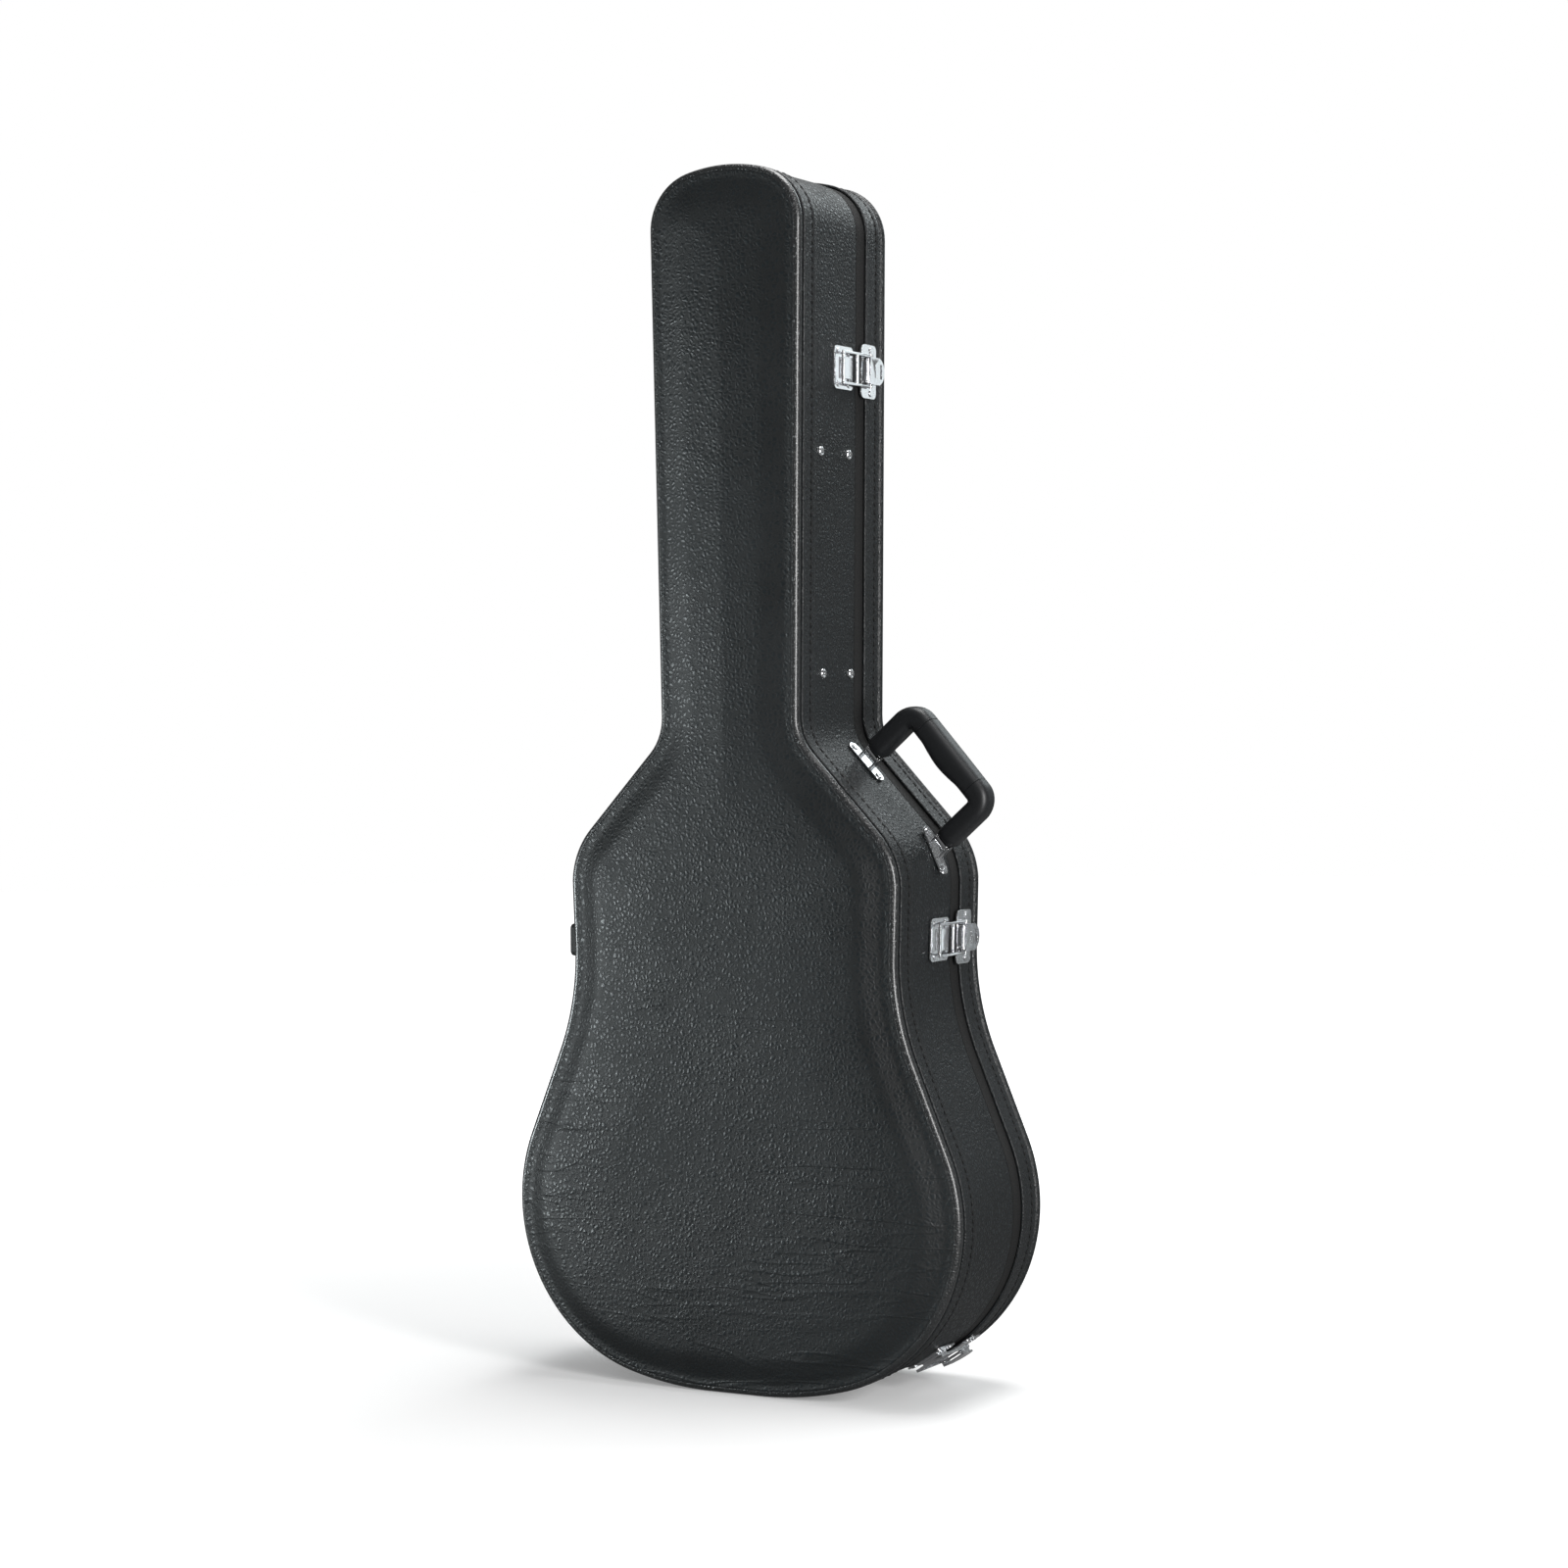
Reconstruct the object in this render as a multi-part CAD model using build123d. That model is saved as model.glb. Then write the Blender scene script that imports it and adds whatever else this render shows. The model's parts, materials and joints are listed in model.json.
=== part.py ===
from build123d import *
import os
from math import sin, cos, radians, degrees, atan2

os.makedirs("parts", exist_ok=True)

# Hard-shell guitar case that stands on its tail. Millimetres.
# +Z runs from the tail to the head, -Y is the arched back of the body half, +Y the lid,
# +X the side with the handle and the latches, -X the hinge side.
# Origin: the middle of the flat on the tail that the case stands on.

# ---- driving dimensions -------------------------------------------------------------
# Outline, walked from the middle of the tail up the right side: lengths and arc radii.
TAIL_FLAT_HALF = 25.0
TAIL_RADIUS, TAIL_TURN = 320.0, 14.9
LOWER_BOUT_RADIUS, LOWER_BOUT_TURN = 156.0, 97.5
LOWER_BOUT_SLOPE = 82.3
WAIST_RADIUS, WAIST_TURN = 229.6, -24.4
UPPER_BOUT_SIDE = 52.7
SHOULDER_RADIUS, SHOULDER_TURN = 72.0, 45.0
SHOULDER_SLOPE = 94.0
NECK_FILLET, NECK_TURN = 45.0, -43.9
NECK_SIDE = 429.0
HEAD_CORNER_RADIUS, HEAD_CORNER_TURN = 50.0, 76.1

RIM_DEPTH = 166.0            # from the back edge roll to the lid edge roll
SEAM_FROM_BACK = 112.0       # where the lid parts from the body
PANEL_ARCH = 12.0            # how far each arched panel stands past its edge roll
ROLL_RADIUS = 5.0
BAND_WIDTH = 24.0            # of the back band
LID_BAND_FROM_SEAM = 15.0
BAND_PROUD = 2.0             # the bands are flush with the edge rolls, so both reach the floor
COVER_DEPTH = 2.0            # the covered wall lies this far inside the edge rolls
COVER_THICKNESS = 1.2
PLY = 5.0
SEAM_GAP = 1.0
TONGUE_HEIGHT = 8.0
PAD = 11.0

# ---- worked-out positions -----------------------------------------------------------
BACK_Y = -RIM_DEPTH / 2
LID_Y = RIM_DEPTH / 2
SEAM_Y = BACK_Y + SEAM_FROM_BACK
WALL_BACK = BACK_Y + 2 * ROLL_RADIUS
WALL_LID = LID_Y - 2 * ROLL_RADIUS
PLY_OUT = COVER_DEPTH + COVER_THICKNESS
PLY_IN = PLY_OUT + PLY
BODY_EDGE = SEAM_Y - SEAM_GAP / 2
LID_EDGE = SEAM_Y + SEAM_GAP / 2
LID_BAND = (SEAM_Y + LID_BAND_FROM_SEAM, WALL_LID - 1)

nodes = {}


def keep(name, shape):
    """Puts one node on the list of parts to write."""
    nodes[name] = shape
    return shape


# ---- outline ------------------------------------------------------------------------
def outline_edges():
    """The right half of the outline, tail to head, as tangent lines and arcs."""
    edges = [Line((0, 0), (TAIL_FLAT_HALF, 0))]

    def arc(radius, turn):
        edges.append(JernArc(edges[-1] @ 1, edges[-1] % 1, radius, turn))

    def line(length):
        start, way = edges[-1] @ 1, edges[-1] % 1
        edges.append(Line(start, start + way * length))

    arc(TAIL_RADIUS, TAIL_TURN)
    arc(LOWER_BOUT_RADIUS, LOWER_BOUT_TURN)
    line(LOWER_BOUT_SLOPE)
    arc(WAIST_RADIUS, WAIST_TURN)
    line(UPPER_BOUT_SIDE)
    arc(SHOULDER_RADIUS, SHOULDER_TURN)
    line(SHOULDER_SLOPE)
    arc(NECK_FILLET, NECK_TURN)
    line(NECK_SIDE)
    arc(HEAD_CORNER_RADIUS, HEAD_CORNER_TURN)
    # The top arc has the radius that brings it level on the centre line.
    end, way = edges[-1] @ 1, edges[-1] % 1
    left_to_turn = 180 - degrees(atan2(way.Y, way.X))
    arc(end.X / sin(radians(left_to_turn)), left_to_turn)
    return edges


half = outline_edges()
CASE_LENGTH = (half[-1] @ 1).Y
whole = Wire([e.edge() for e in half] + [mirror(e.edge(), Plane.YZ).edge() for e in half])
OUTLINE = Face(whole)
offsets = {}


def outline(inset):
    """The outline's face moved in by inset, drawn in X and Z."""
    if inset not in offsets:
        offsets[inset] = OUTLINE if inset == 0 else offset(OUTLINE, amount=-inset).face()
    return offsets[inset]


def slab(inset, y0, y1):
    """A plate of the outline's shape from y0 to y1."""
    return extrude(Plane.XZ.offset(-y0) * outline(inset), amount=-(y1 - y0))


def ring(outer, inner, y0, y1):
    """A wall that follows the outline, from inset outer to inset inner."""
    return slab(outer, y0, y1) - slab(inner, y0, y1)


def block(x0, x1, y0, y1, z0, z1):
    """A box between two corners."""
    return Pos((x0 + x1) / 2, (y0 + y1) / 2, (z0 + z1) / 2) * Box(x1 - x0, y1 - y0, z1 - z0)


def edge_roll(y):
    """A round cord that follows the outline at depth y."""
    path = Plane.XZ.offset(-y) * outline(ROLL_RADIUS).outer_wire()
    start = Plane(origin=(0, y, ROLL_RADIUS), x_dir=(0, 1, 0), z_dir=(1, 0, 0))
    return sweep(start * Circle(ROLL_RADIUS), path=path, transition=Transition.ROUND)


def arched_panel(y_in, y_out, way):
    """A thin panel that fills the edge roll and stands out in a raised field with sloped sides."""
    edge_inset, field_inset, slope = 2 * ROLL_RADIUS + 0.1, 20.0, 52.0
    plate = slab(edge_inset, min(y_in, y_out), max(y_in, y_out))
    rise = PANEL_ARCH + ROLL_RADIUS * 0.6
    base = Plane.XZ.offset(-y_out)
    field = extrude(base * outline(field_inset), amount=-way * rise, taper=slope)
    hollow = extrude(Plane.XZ.offset(-y_in) * outline(field_inset + 6),
                     amount=-way * (rise + abs(y_out - y_in) - 5), taper=slope)
    return plate + field - hollow


# ---- frames on the wall -------------------------------------------------------------
def wall_frame(x, z, normal_angle, y=SEAM_Y):
    """Local X runs along +Y, local Y along the wall and local Z straight out of it."""
    out = Vector(cos(radians(normal_angle)), 0, sin(radians(normal_angle)))
    return Location(Plane(origin=(x, y, z), x_dir=(0, 1, 0), z_dir=out))


def outline_point(edge_number, along):
    """A point of the right half outline and the angle of the wall's outward normal there."""
    point, way = half[edge_number] @ along, half[edge_number] % along
    return point.X, point.Y, degrees(atan2(way.Y, way.X)) - 90


def local_rod(a, h, b0, b1, radius):
    """In a wall frame, a round bar along the wall at depth a and height h."""
    return Pos(a, (b0 + b1) / 2, h) * Rot(90, 0, 0) * Cylinder(radius, b1 - b0)


# ---- body half ----------------------------------------------------------------------
COMPARTMENT_LOW, COMPARTMENT_HIGH = 634.0, 829.0
END_WALL = 6.0
compartment_zone = block(-100, 100, -100, 100, COMPARTMENT_LOW - END_WALL / 2 - 0.5,
                         COMPARTMENT_HIGH + END_WALL / 2 + 0.5)


def body_half():
    keep("body_side_wall", ring(PLY_OUT, PLY_IN, WALL_BACK, BODY_EDGE))
    keep("body_side_cover", ring(COVER_DEPTH, PLY_OUT, WALL_BACK, BODY_EDGE))
    keep("back_binding_band", ring(COVER_DEPTH - BAND_PROUD, COVER_DEPTH,
                                   WALL_BACK + 1, WALL_BACK + 1 + BAND_WIDTH))
    keep("back_edge_roll", edge_roll(BACK_Y + ROLL_RADIUS))
    keep("back_panel", arched_panel(WALL_BACK, BACK_Y + 2, -1))
    tongue = ring(PLY_IN, PLY_IN + 3, BODY_EDGE - 14, BODY_EDGE)
    tongue += ring(PLY_IN + 0.8, PLY_IN + 3, BODY_EDGE, SEAM_Y + TONGUE_HEIGHT)
    keep("body_tongue", tongue)
    floor = slab(PLY_IN, WALL_BACK, WALL_BACK + 8)
    keep("body_floor_pad", floor - compartment_zone)
    wall_pad = ring(PLY_IN, PLY_IN + PAD, WALL_BACK + 8, BODY_EDGE - 15)
    keep("body_wall_pad", wall_pad - compartment_zone)


# ---- accessory compartment ----------------------------------------------------------
FLAP_Y = -29.0
FLAP_THICKNESS = 5.0
FLAP_HINGE_X = -54.0
NECK_REST_Y = -13.0
COMPARTMENT_HALF = 61.0
NOTCH_HALF, NOTCH_CORNER = 34.0, 3.0


def end_wall(z):
    """A wall across the neck, notched where the guitar's neck rests."""
    wall = block(-COMPARTMENT_HALF, COMPARTMENT_HALF, WALL_BACK, BODY_EDGE - 4,
                 z - END_WALL / 2, z + END_WALL / 2)
    wall -= block(-NOTCH_HALF, NOTCH_HALF, NECK_REST_Y, SEAM_Y, z - END_WALL, z + END_WALL)
    return fillet(wall.edges().filter_by(Axis.Z).group_by(Axis.Y)[1], NOTCH_CORNER)


def compartment():
    keep("compartment_end_wall_low", end_wall(COMPARTMENT_LOW))
    keep("compartment_end_wall_high", end_wall(COMPARTMENT_HIGH))
    z0, z1 = COMPARTMENT_LOW + END_WALL / 2, COMPARTMENT_HIGH - END_WALL / 2
    ledge = block(52, COMPARTMENT_HALF, FLAP_Y - 12, FLAP_Y - 0.3, z0, z1)
    hinge_ledge = block(-COMPARTMENT_HALF, -52, FLAP_Y - 12, FLAP_Y - 0.3, z0, z1)
    keep("compartment_ledges", Compound([ledge, hinge_ledge]))
    flap = block(FLAP_HINGE_X, 58, FLAP_Y, FLAP_Y + FLAP_THICKNESS, z0 + 1, z1 - 1)
    flap += Pos(FLAP_HINGE_X, FLAP_Y + FLAP_THICKNESS / 2, (z0 + z1) / 2) * Cylinder(
        FLAP_THICKNESS / 2, z1 - z0 - 2)
    keep("compartment_flap", flap)
    middle = (z0 + z1) / 2
    tab_y = FLAP_Y + FLAP_THICKNESS
    keep("flap_pull_tab", block(36, 57, tab_y, tab_y + 1.5, middle - 9, middle + 9))
    rivets = []
    for z, rows in ((COMPARTMENT_LOW, (-31, 21)), (COMPARTMENT_HIGH, (-37, 15))):
        x, _, _ = outline_point(9, (z - (half[9] @ 0).Y) / NECK_SIDE)
        for y in rows:
            for side in (-1, 1):
                head = Pos(side * (x - COVER_DEPTH + 0.7), y, z) * Rot(0, 90, 0) * Cylinder(4, 1.4)
                shank_length = 14
                shank = Pos(side * (x - COVER_DEPTH - shank_length / 2), y, z)
                shank = shank * Rot(0, 90, 0) * Cylinder(1.5, shank_length)
                rivets.append(head + shank)
    keep("compartment_rivets", Compound(rivets))


# ---- lid ----------------------------------------------------------------------------
def lid_half():
    keep("lid_side_wall", ring(PLY_OUT, PLY_IN, LID_EDGE, WALL_LID))
    keep("lid_side_cover", ring(COVER_DEPTH, PLY_OUT, LID_EDGE, WALL_LID))
    keep("lid_binding_band", ring(COVER_DEPTH - BAND_PROUD, COVER_DEPTH,
                                  *LID_BAND))
    keep("lid_edge_roll", edge_roll(LID_Y - ROLL_RADIUS))
    keep("lid_panel", arched_panel(WALL_LID, LID_Y - 2, 1))
    keep("lid_wall_pad", ring(PLY_IN, PLY_IN + 9, SEAM_Y + TONGUE_HEIGHT + 1, WALL_LID - 4))
    keep("lid_lining_pad", slab(PLY_IN, WALL_LID - 4, WALL_LID))


# ---- latches ------------------------------------------------------------------------
# Wall-frame heights start at the covered wall; the lid's band stands BAND_PROUD above it.
LEVER_PIN = (7.0, 8.0)       # along the depth and out of the wall
BAIL_PIN = (15.0, 6.2)
CHEEK_IN, CHEEK_OUT = 8.5, 10.0
FLANGE_IN, FLANGE_OUT = 10.6, 12.1
BAIL_IN, BAIL_OUT = 12.7, 14.9
BAIL_FAR = -38.0
BAIL_H = 5.0                 # underside of the bail over the catch
PIN_R, STUB_R, RUNNING = 1.2, 1.2, 0.05
SHANK = PLY_IN - COVER_DEPTH - 0.2   # rivets end inside the plywood


def latch_catch():
    plate = Pos(-27, 0, 0.75) * extrude(RectangleRounded(34, 38, 4), 0.75, both=True)
    saddle = block(-33, -15, -9.5, 9.5, 0, 4.6)
    saddle = fillet(saddle.edges().filter_by(Axis.Y).group_by(Axis.Z)[-1], 3.4)
    slot = block(-29, -19, -7, 7, 1.5, 3.2)
    holes = [Pos(a, b, 0) * Cylinder(1.6, 8) for a in (-37, -17) for b in (-14.5, 14.5)]
    return plate + saddle - slot - holes


def latch_catch_rivets():
    spots = [(a, b) for a in (-37, -17) for b in (-14.5, 14.5)]
    heads = [Pos(a, b, 1.5) * extrude(Circle(2.8), 0.9) for a, b in spots]
    shanks = [Pos(a, b, -SHANK) * extrude(Circle(1.6), SHANK + 1.5) for a, b in spots]
    return [head + shank for head, shank in zip(heads, shanks)]


def latch_base():
    low = BAND_PROUD
    plate = Pos(17, 0, low) * extrude(RectangleRounded(28, 48, 5), 1.5)
    pin_a, pin_h = LEVER_PIN
    cheeks = []
    for b0, b1 in ((-CHEEK_OUT, -CHEEK_IN), (CHEEK_IN, CHEEK_OUT)):
        cheeks.append(block(pin_a - 1.7, pin_a + 4, b0, b1, low, pin_h))
        cheeks.append(local_rod(pin_a, pin_h, b0, b1, 2.0))
    bore = local_rod(*LEVER_PIN, -30, 30, PIN_R)
    holes = [Pos(21, b, 0) * Cylinder(2.0, 12) for b in (-19, 19)]
    return plate + cheeks - bore - holes


def latch_base_rivets():
    spots = [(21, b) for b in (-19, 19)]
    low = BAND_PROUD + 1.5
    heads = [Pos(a, b, low) * extrude(Circle(3.2), 1.0) for a, b in spots]
    shanks = [Pos(a, b, -SHANK) * extrude(Circle(2.0), SHANK + low) for a, b in spots]
    return [head + shank for head, shank in zip(heads, shanks)]


def latch_lever():
    top, skin = 11.6, 1.4
    plate = block(5.5, 23, -FLANGE_OUT, FLANGE_OUT, top - skin, top)
    tab = Pos(20, 0, top - skin) * extrude(Circle(FLANGE_OUT), skin)
    lever = plate + tab
    for side in (-1, 1):
        low, high = sorted((side * FLANGE_IN, side * FLANGE_OUT))
        lever += block(5.5, 19, low, high, 4.4, top - skin)
        low, high = sorted((side * FLANGE_OUT, side * (BAIL_OUT + 0.3)))
        lever += local_rod(*BAIL_PIN, low, high, STUB_R)
    lever -= local_rod(*LEVER_PIN, -30, 30, PIN_R + RUNNING)
    lever -= Pos(25.5, 0, top) * Box(3.5, 13, 8)
    lever -= Pos(14.5, 0, top) * Box(1.6, 12, 1.2)
    return lever


def latch_bail():
    bail = None
    for side in (-1, 1):
        low, high = sorted((side * BAIL_IN, side * BAIL_OUT))
        arm = block(BAIL_FAR + 1.4, BAIL_PIN[0], low, high, BAIL_H, BAIL_H + 2.4)
        eye = local_rod(*BAIL_PIN, low, high, 2.0)
        bail = arm + eye if bail is None else bail + arm + eye
    bail += block(BAIL_FAR, BAIL_FAR + 3.2, -BAIL_OUT, BAIL_OUT, BAIL_H, BAIL_H + 2.4)
    bail += block(-12, -9, -BAIL_IN, BAIL_IN, BAIL_H + 0.4, BAIL_H + 2.4)
    return bail - local_rod(*BAIL_PIN, -30, 30, STUB_R + RUNNING)


def latch_places():
    """Where each latch sits: on the neck, on the waist and on the lower right of the tail."""
    neck_x, neck_z, neck_angle = outline_point(9, 0.718)
    waist_x, waist_z, waist_angle = outline_point(5, 0.14)
    tail_x, tail_z, tail_angle = outline_point(2, 0.19)
    return {"neck": (neck_x, neck_z, neck_angle, 0.0), "waist": (waist_x, waist_z, waist_angle, 1.3),
            "tail": (tail_x, tail_z, tail_angle, 0.0)}


def on_cover(x, z, angle, lift=0.0):
    """A wall frame on the covered wall, lifted out by lift where the wall is hollow."""
    reach = lift - COVER_DEPTH
    return wall_frame(x + reach * cos(radians(angle)), z + reach * sin(radians(angle)), angle)


def latches():
    catch_rivets, base_rivets, pins = [], [], []
    for name, (x, z, angle, lift) in latch_places().items():
        place = on_cover(x, z, angle, lift)
        keep(f"{name}_latch_catch", place * latch_catch())
        keep(f"{name}_latch_base", place * latch_base())
        keep(f"{name}_latch_lever", place * latch_lever())
        keep(f"{name}_latch_bail", place * latch_bail())
        catch_rivets += [place * rivet for rivet in latch_catch_rivets()]
        base_rivets += [place * rivet for rivet in latch_base_rivets()]
        pins.append(place * local_rod(*LEVER_PIN, -FLANGE_OUT, FLANGE_OUT, PIN_R))
        axis = Vector(-sin(radians(angle)), 0, cos(radians(angle)))
        for pin_name, (a, h) in (("lever", LEVER_PIN), ("bail", BAIL_PIN)):
            centre = place * Pos(a, 0, h)
            print("JOINT", f"{name}_{pin_name}", tuple(centre.position), tuple(axis))
    keep("latch_catch_rivets", Compound(catch_rivets))
    keep("latch_base_rivets", Compound(base_rivets))
    keep("latch_lever_pins", Compound(pins))


# ---- hinges -------------------------------------------------------------------------
# The hinge line rests on the lower bout and the head corner, so nothing reaches past it.
KNUCKLE_R, HINGE_PIN_R, LEAF = 3.6, 1.6, 1.5
HINGE_OUT = 5.6              # from the hull line out to the pin


def hinge_line():
    """The line that touches the lower bout and the head corner on the left side."""
    bout = half[2].arc_center
    head = half[10].arc_center
    run, rise = bout.X - head.X, head.Y - bout.Y
    lean = atan2(run, rise)
    squeeze = (LOWER_BOUT_RADIUS - HEAD_CORNER_RADIUS) / (run ** 2 + rise ** 2) ** 0.5
    tilt = degrees(lean) + degrees(atan2(squeeze, (1 - squeeze ** 2) ** 0.5))
    touch = Vector(-bout.X - LOWER_BOUT_RADIUS * cos(radians(tilt)), 0,
                   bout.Y + LOWER_BOUT_RADIUS * sin(radians(tilt)))
    return touch, tilt


def hinge(touch, tilt, along, gap, length):
    """One butt hinge: two leaves, each a plate on the wall with a web out to its knuckles."""
    out = Vector(-cos(radians(tilt)), 0, sin(radians(tilt)))
    up = Vector(sin(radians(tilt)), 0, cos(radians(tilt)))
    base = touch + up * along
    frame = Location(Plane(origin=(base.X, SEAM_Y, base.Z), x_dir=(0, 1, 0), z_dir=out))
    low = -gap - COVER_DEPTH
    third = length / 3
    body = block(-22, -1, -length / 2, length / 2, low, low + LEAF)
    lid = block(1, 22, -length / 2, length / 2, low + BAND_PROUD, low + BAND_PROUD + LEAF)
    for s in (-1, 1):
        centre = s * third
        half_knuckle = third / 2 - 0.2
        body += local_rod(0, HINGE_OUT, centre - half_knuckle, centre + half_knuckle, KNUCKLE_R)
        body += block(-KNUCKLE_R, -1, centre - half_knuckle, centre + half_knuckle,
                            low, HINGE_OUT)
    half_knuckle = third / 2 - 0.2
    lid += local_rod(0, HINGE_OUT, -half_knuckle, half_knuckle, KNUCKLE_R)
    lid += block(1, KNUCKLE_R, -half_knuckle, half_knuckle, low + BAND_PROUD, HINGE_OUT)
    pin = local_rod(0, HINGE_OUT, -length / 2, length / 2, HINGE_PIN_R)
    body -= local_rod(0, HINGE_OUT, -length, length, HINGE_PIN_R)
    lid -= local_rod(0, HINGE_OUT, -length, length, HINGE_PIN_R + RUNNING)
    body_rivets, lid_rivets = [], []
    for b in (-length / 3, length / 3):
        for a, base_h, group in ((-15, low, body_rivets), (15, low + BAND_PROUD, lid_rivets)):
            rivet = Pos(a, b, base_h + LEAF) * extrude(Circle(3.0), 0.9)
            rivet += Pos(a, b, base_h - 5) * extrude(Circle(1.6), 5 + LEAF)
            group.append(rivet)
    holes = [Pos(a, b, low) * Cylinder(1.6, 12) for a in (-15, 15) for b in (-length / 3, length / 3)]
    parts = {"body_leaf": body - holes, "lid_leaf": lid - holes, "pin": pin}
    placed = {name: frame * part for name, part in parts.items()}
    return placed, [frame * r for r in body_rivets], [frame * r for r in lid_rivets]


def hinges():
    touch, tilt = hinge_line()
    out = Vector(-cos(radians(tilt)), 0, sin(radians(tilt)))
    up = Vector(sin(radians(tilt)), 0, cos(radians(tilt)))
    shoulder = half[6].arc_center
    shoulder_left = Vector(-shoulder.X, 0, shoulder.Y) + out * SHOULDER_RADIUS
    along_shoulder = (shoulder_left - touch).dot(up)
    gap_shoulder = -(shoulder_left - touch).dot(out)
    body_rivets, lid_rivets = [], []
    for name, along, gap in (("lower", 0.0, 0.0), ("upper", along_shoulder, gap_shoulder)):
        placed, in_body, in_lid = hinge(touch, tilt, along, gap, 48.0)
        keep(f"{name}_hinge_body_leaf", placed["body_leaf"])
        keep(f"{name}_hinge_lid_leaf", placed["lid_leaf"])
        keep(f"{name}_hinge_pin", placed["pin"])
        body_rivets += in_body
        lid_rivets += in_lid
    keep("hinge_body_rivets", Compound(body_rivets))
    keep("hinge_lid_rivets", Compound(lid_rivets))
    pivot = touch + out * HINGE_OUT
    print("JOINT lid", (pivot.X, SEAM_Y, pivot.Z), tuple(up), "gap", gap_shoulder)


# ---- handle -------------------------------------------------------------------------
HANDLE_Y = 7.0
PIVOT_OUT = 9.0              # pivot line above the wall
GRIP_OUT, GRIP_IN, GRIP_BUMP = 76.0, 54.0, 49.5
GRIP_HALF_LENGTH, LEG_WIDTH = 62.0, 20.0
GRIP_THICKNESS = 25.0
HANDLE_PIN_R = 2.0
BRACKET_LENGTH, BRACKET_WIDTH = 46.0, 14.0


def handle_places():
    """The wall points and normal angles under the two brackets."""
    high = outline_point(7, 0.86)
    low = outline_point(6, 0.60)
    return high, low


def handle():
    (x1, z1, angle1), (x2, z2, angle2) = handle_places()
    chord = Vector(x2 - x1, 0, z2 - z1)
    spread = chord.length
    down = chord.normalized()
    out = Vector(-down.Z, 0, down.X)
    middle = Vector((x1 + x2) / 2, HANDLE_Y, (z1 + z2) / 2)
    # Local X along the slope, local Y along -Y of the case, local Z out of the wall.
    frame = Location(Plane(origin=middle, x_dir=down, z_dir=out))
    eyelets, pins, screws = [], [], []
    for name, side, x, z, angle in (("upper", -1, x1, z1, angle1), ("lower", 1, x2, z2, angle2)):
        reach = 0.9 - COVER_DEPTH
        seat = Location(Plane(origin=(x + reach * cos(radians(angle)), HANDLE_Y,
                                      z + reach * sin(radians(angle))),
                              x_dir=(0, 1, 0),
                              z_dir=(cos(radians(angle)), 0, sin(radians(angle)))))
        bracket = seat * extrude(SlotOverall(BRACKET_LENGTH, BRACKET_WIDTH, rotation=90), 1.6)
        centre = side * spread / 2
        for ear in (-1, 1):
            a = centre + ear * 7.6
            bracket += frame * block(a - 1, a + 1, -4, 4, -4, PIVOT_OUT)
            bracket += frame * (Pos(a, 0, PIVOT_OUT) * Rot(0, 90, 0) * Cylinder(4, 2))
        bracket -= seat * block(-30, 30, -30, 30, -10, 0)
        pin = frame * (Pos(centre, 0, PIVOT_OUT) * Rot(0, 90, 0) * Cylinder(HANDLE_PIN_R, 17.2))
        bracket -= pin
        screw_holes = [seat * Pos(0, b, 0) * Cylinder(1.8, 12) for b in (-17.5, 17.5)]
        keep(f"handle_bracket_{name}", bracket - screw_holes)
        pins.append(pin)
        for b in (-17.5, 17.5):
            head = seat * (Pos(0, b, 1.6) * extrude(Circle(3.4), 1.2))
            slot = seat * (Pos(0, b, 2.8) * Box(5.4, 0.9, 1.2)) + seat * (Pos(0, b, 2.8) * Box(0.9, 5.4, 1.2))
            shank = seat * (Pos(0, b, -SHANK) * extrude(Circle(1.8), SHANK + 1.6))
            screws.append(head - slot + shank)
        eyelet = Pos(centre, 0, PIVOT_OUT) * Rot(0, 90, 0) * Cylinder(4.2, 12.6)
        eyelet += block(centre - 6.3, centre + 6.3, -2, 2, PIVOT_OUT, 26)
        eyelet -= Pos(centre, 0, PIVOT_OUT) * Rot(0, 90, 0) * Cylinder(HANDLE_PIN_R + RUNNING, 30)
        eyelets.append(eyelet)
    legs_from = PIVOT_OUT + 5.5
    inner_half = GRIP_HALF_LENGTH - LEG_WIDTH
    profile = Plane.XZ * make_face([
        Polyline((-GRIP_HALF_LENGTH, legs_from), (-GRIP_HALF_LENGTH, GRIP_OUT),
                 (GRIP_HALF_LENGTH, GRIP_OUT), (GRIP_HALF_LENGTH, legs_from),
                 (inner_half, legs_from), (inner_half, GRIP_IN)),
        Spline((inner_half, GRIP_IN), (inner_half / 2, GRIP_IN - 1), (0, GRIP_BUMP),
               (-inner_half / 2, GRIP_IN - 1), (-inner_half, GRIP_IN)),
        Polyline((-inner_half, GRIP_IN), (-inner_half, legs_from), (-GRIP_HALF_LENGTH, legs_from)),
    ])
    grip = extrude(profile, amount=GRIP_THICKNESS / 2, both=True)
    outer_corners = grip.edges().filter_by(Axis.Y).group_by(Axis.Z)[-1]
    grip = fillet(outer_corners, 22)
    for eyelet in eyelets:
        grip -= eyelet
    keep("handle_grip", frame * grip)
    keep("handle_eyelets", Compound([frame * e for e in eyelets]))
    keep("handle_pins", Compound(pins))
    keep("handle_screws", Compound(screws))
    pivot = middle + out * PIVOT_OUT
    print("JOINT handle", tuple(pivot), tuple(down), "spread", spread)


# ---- feet ---------------------------------------------------------------------------
FOOT_HEIGHT = 12.0


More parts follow.
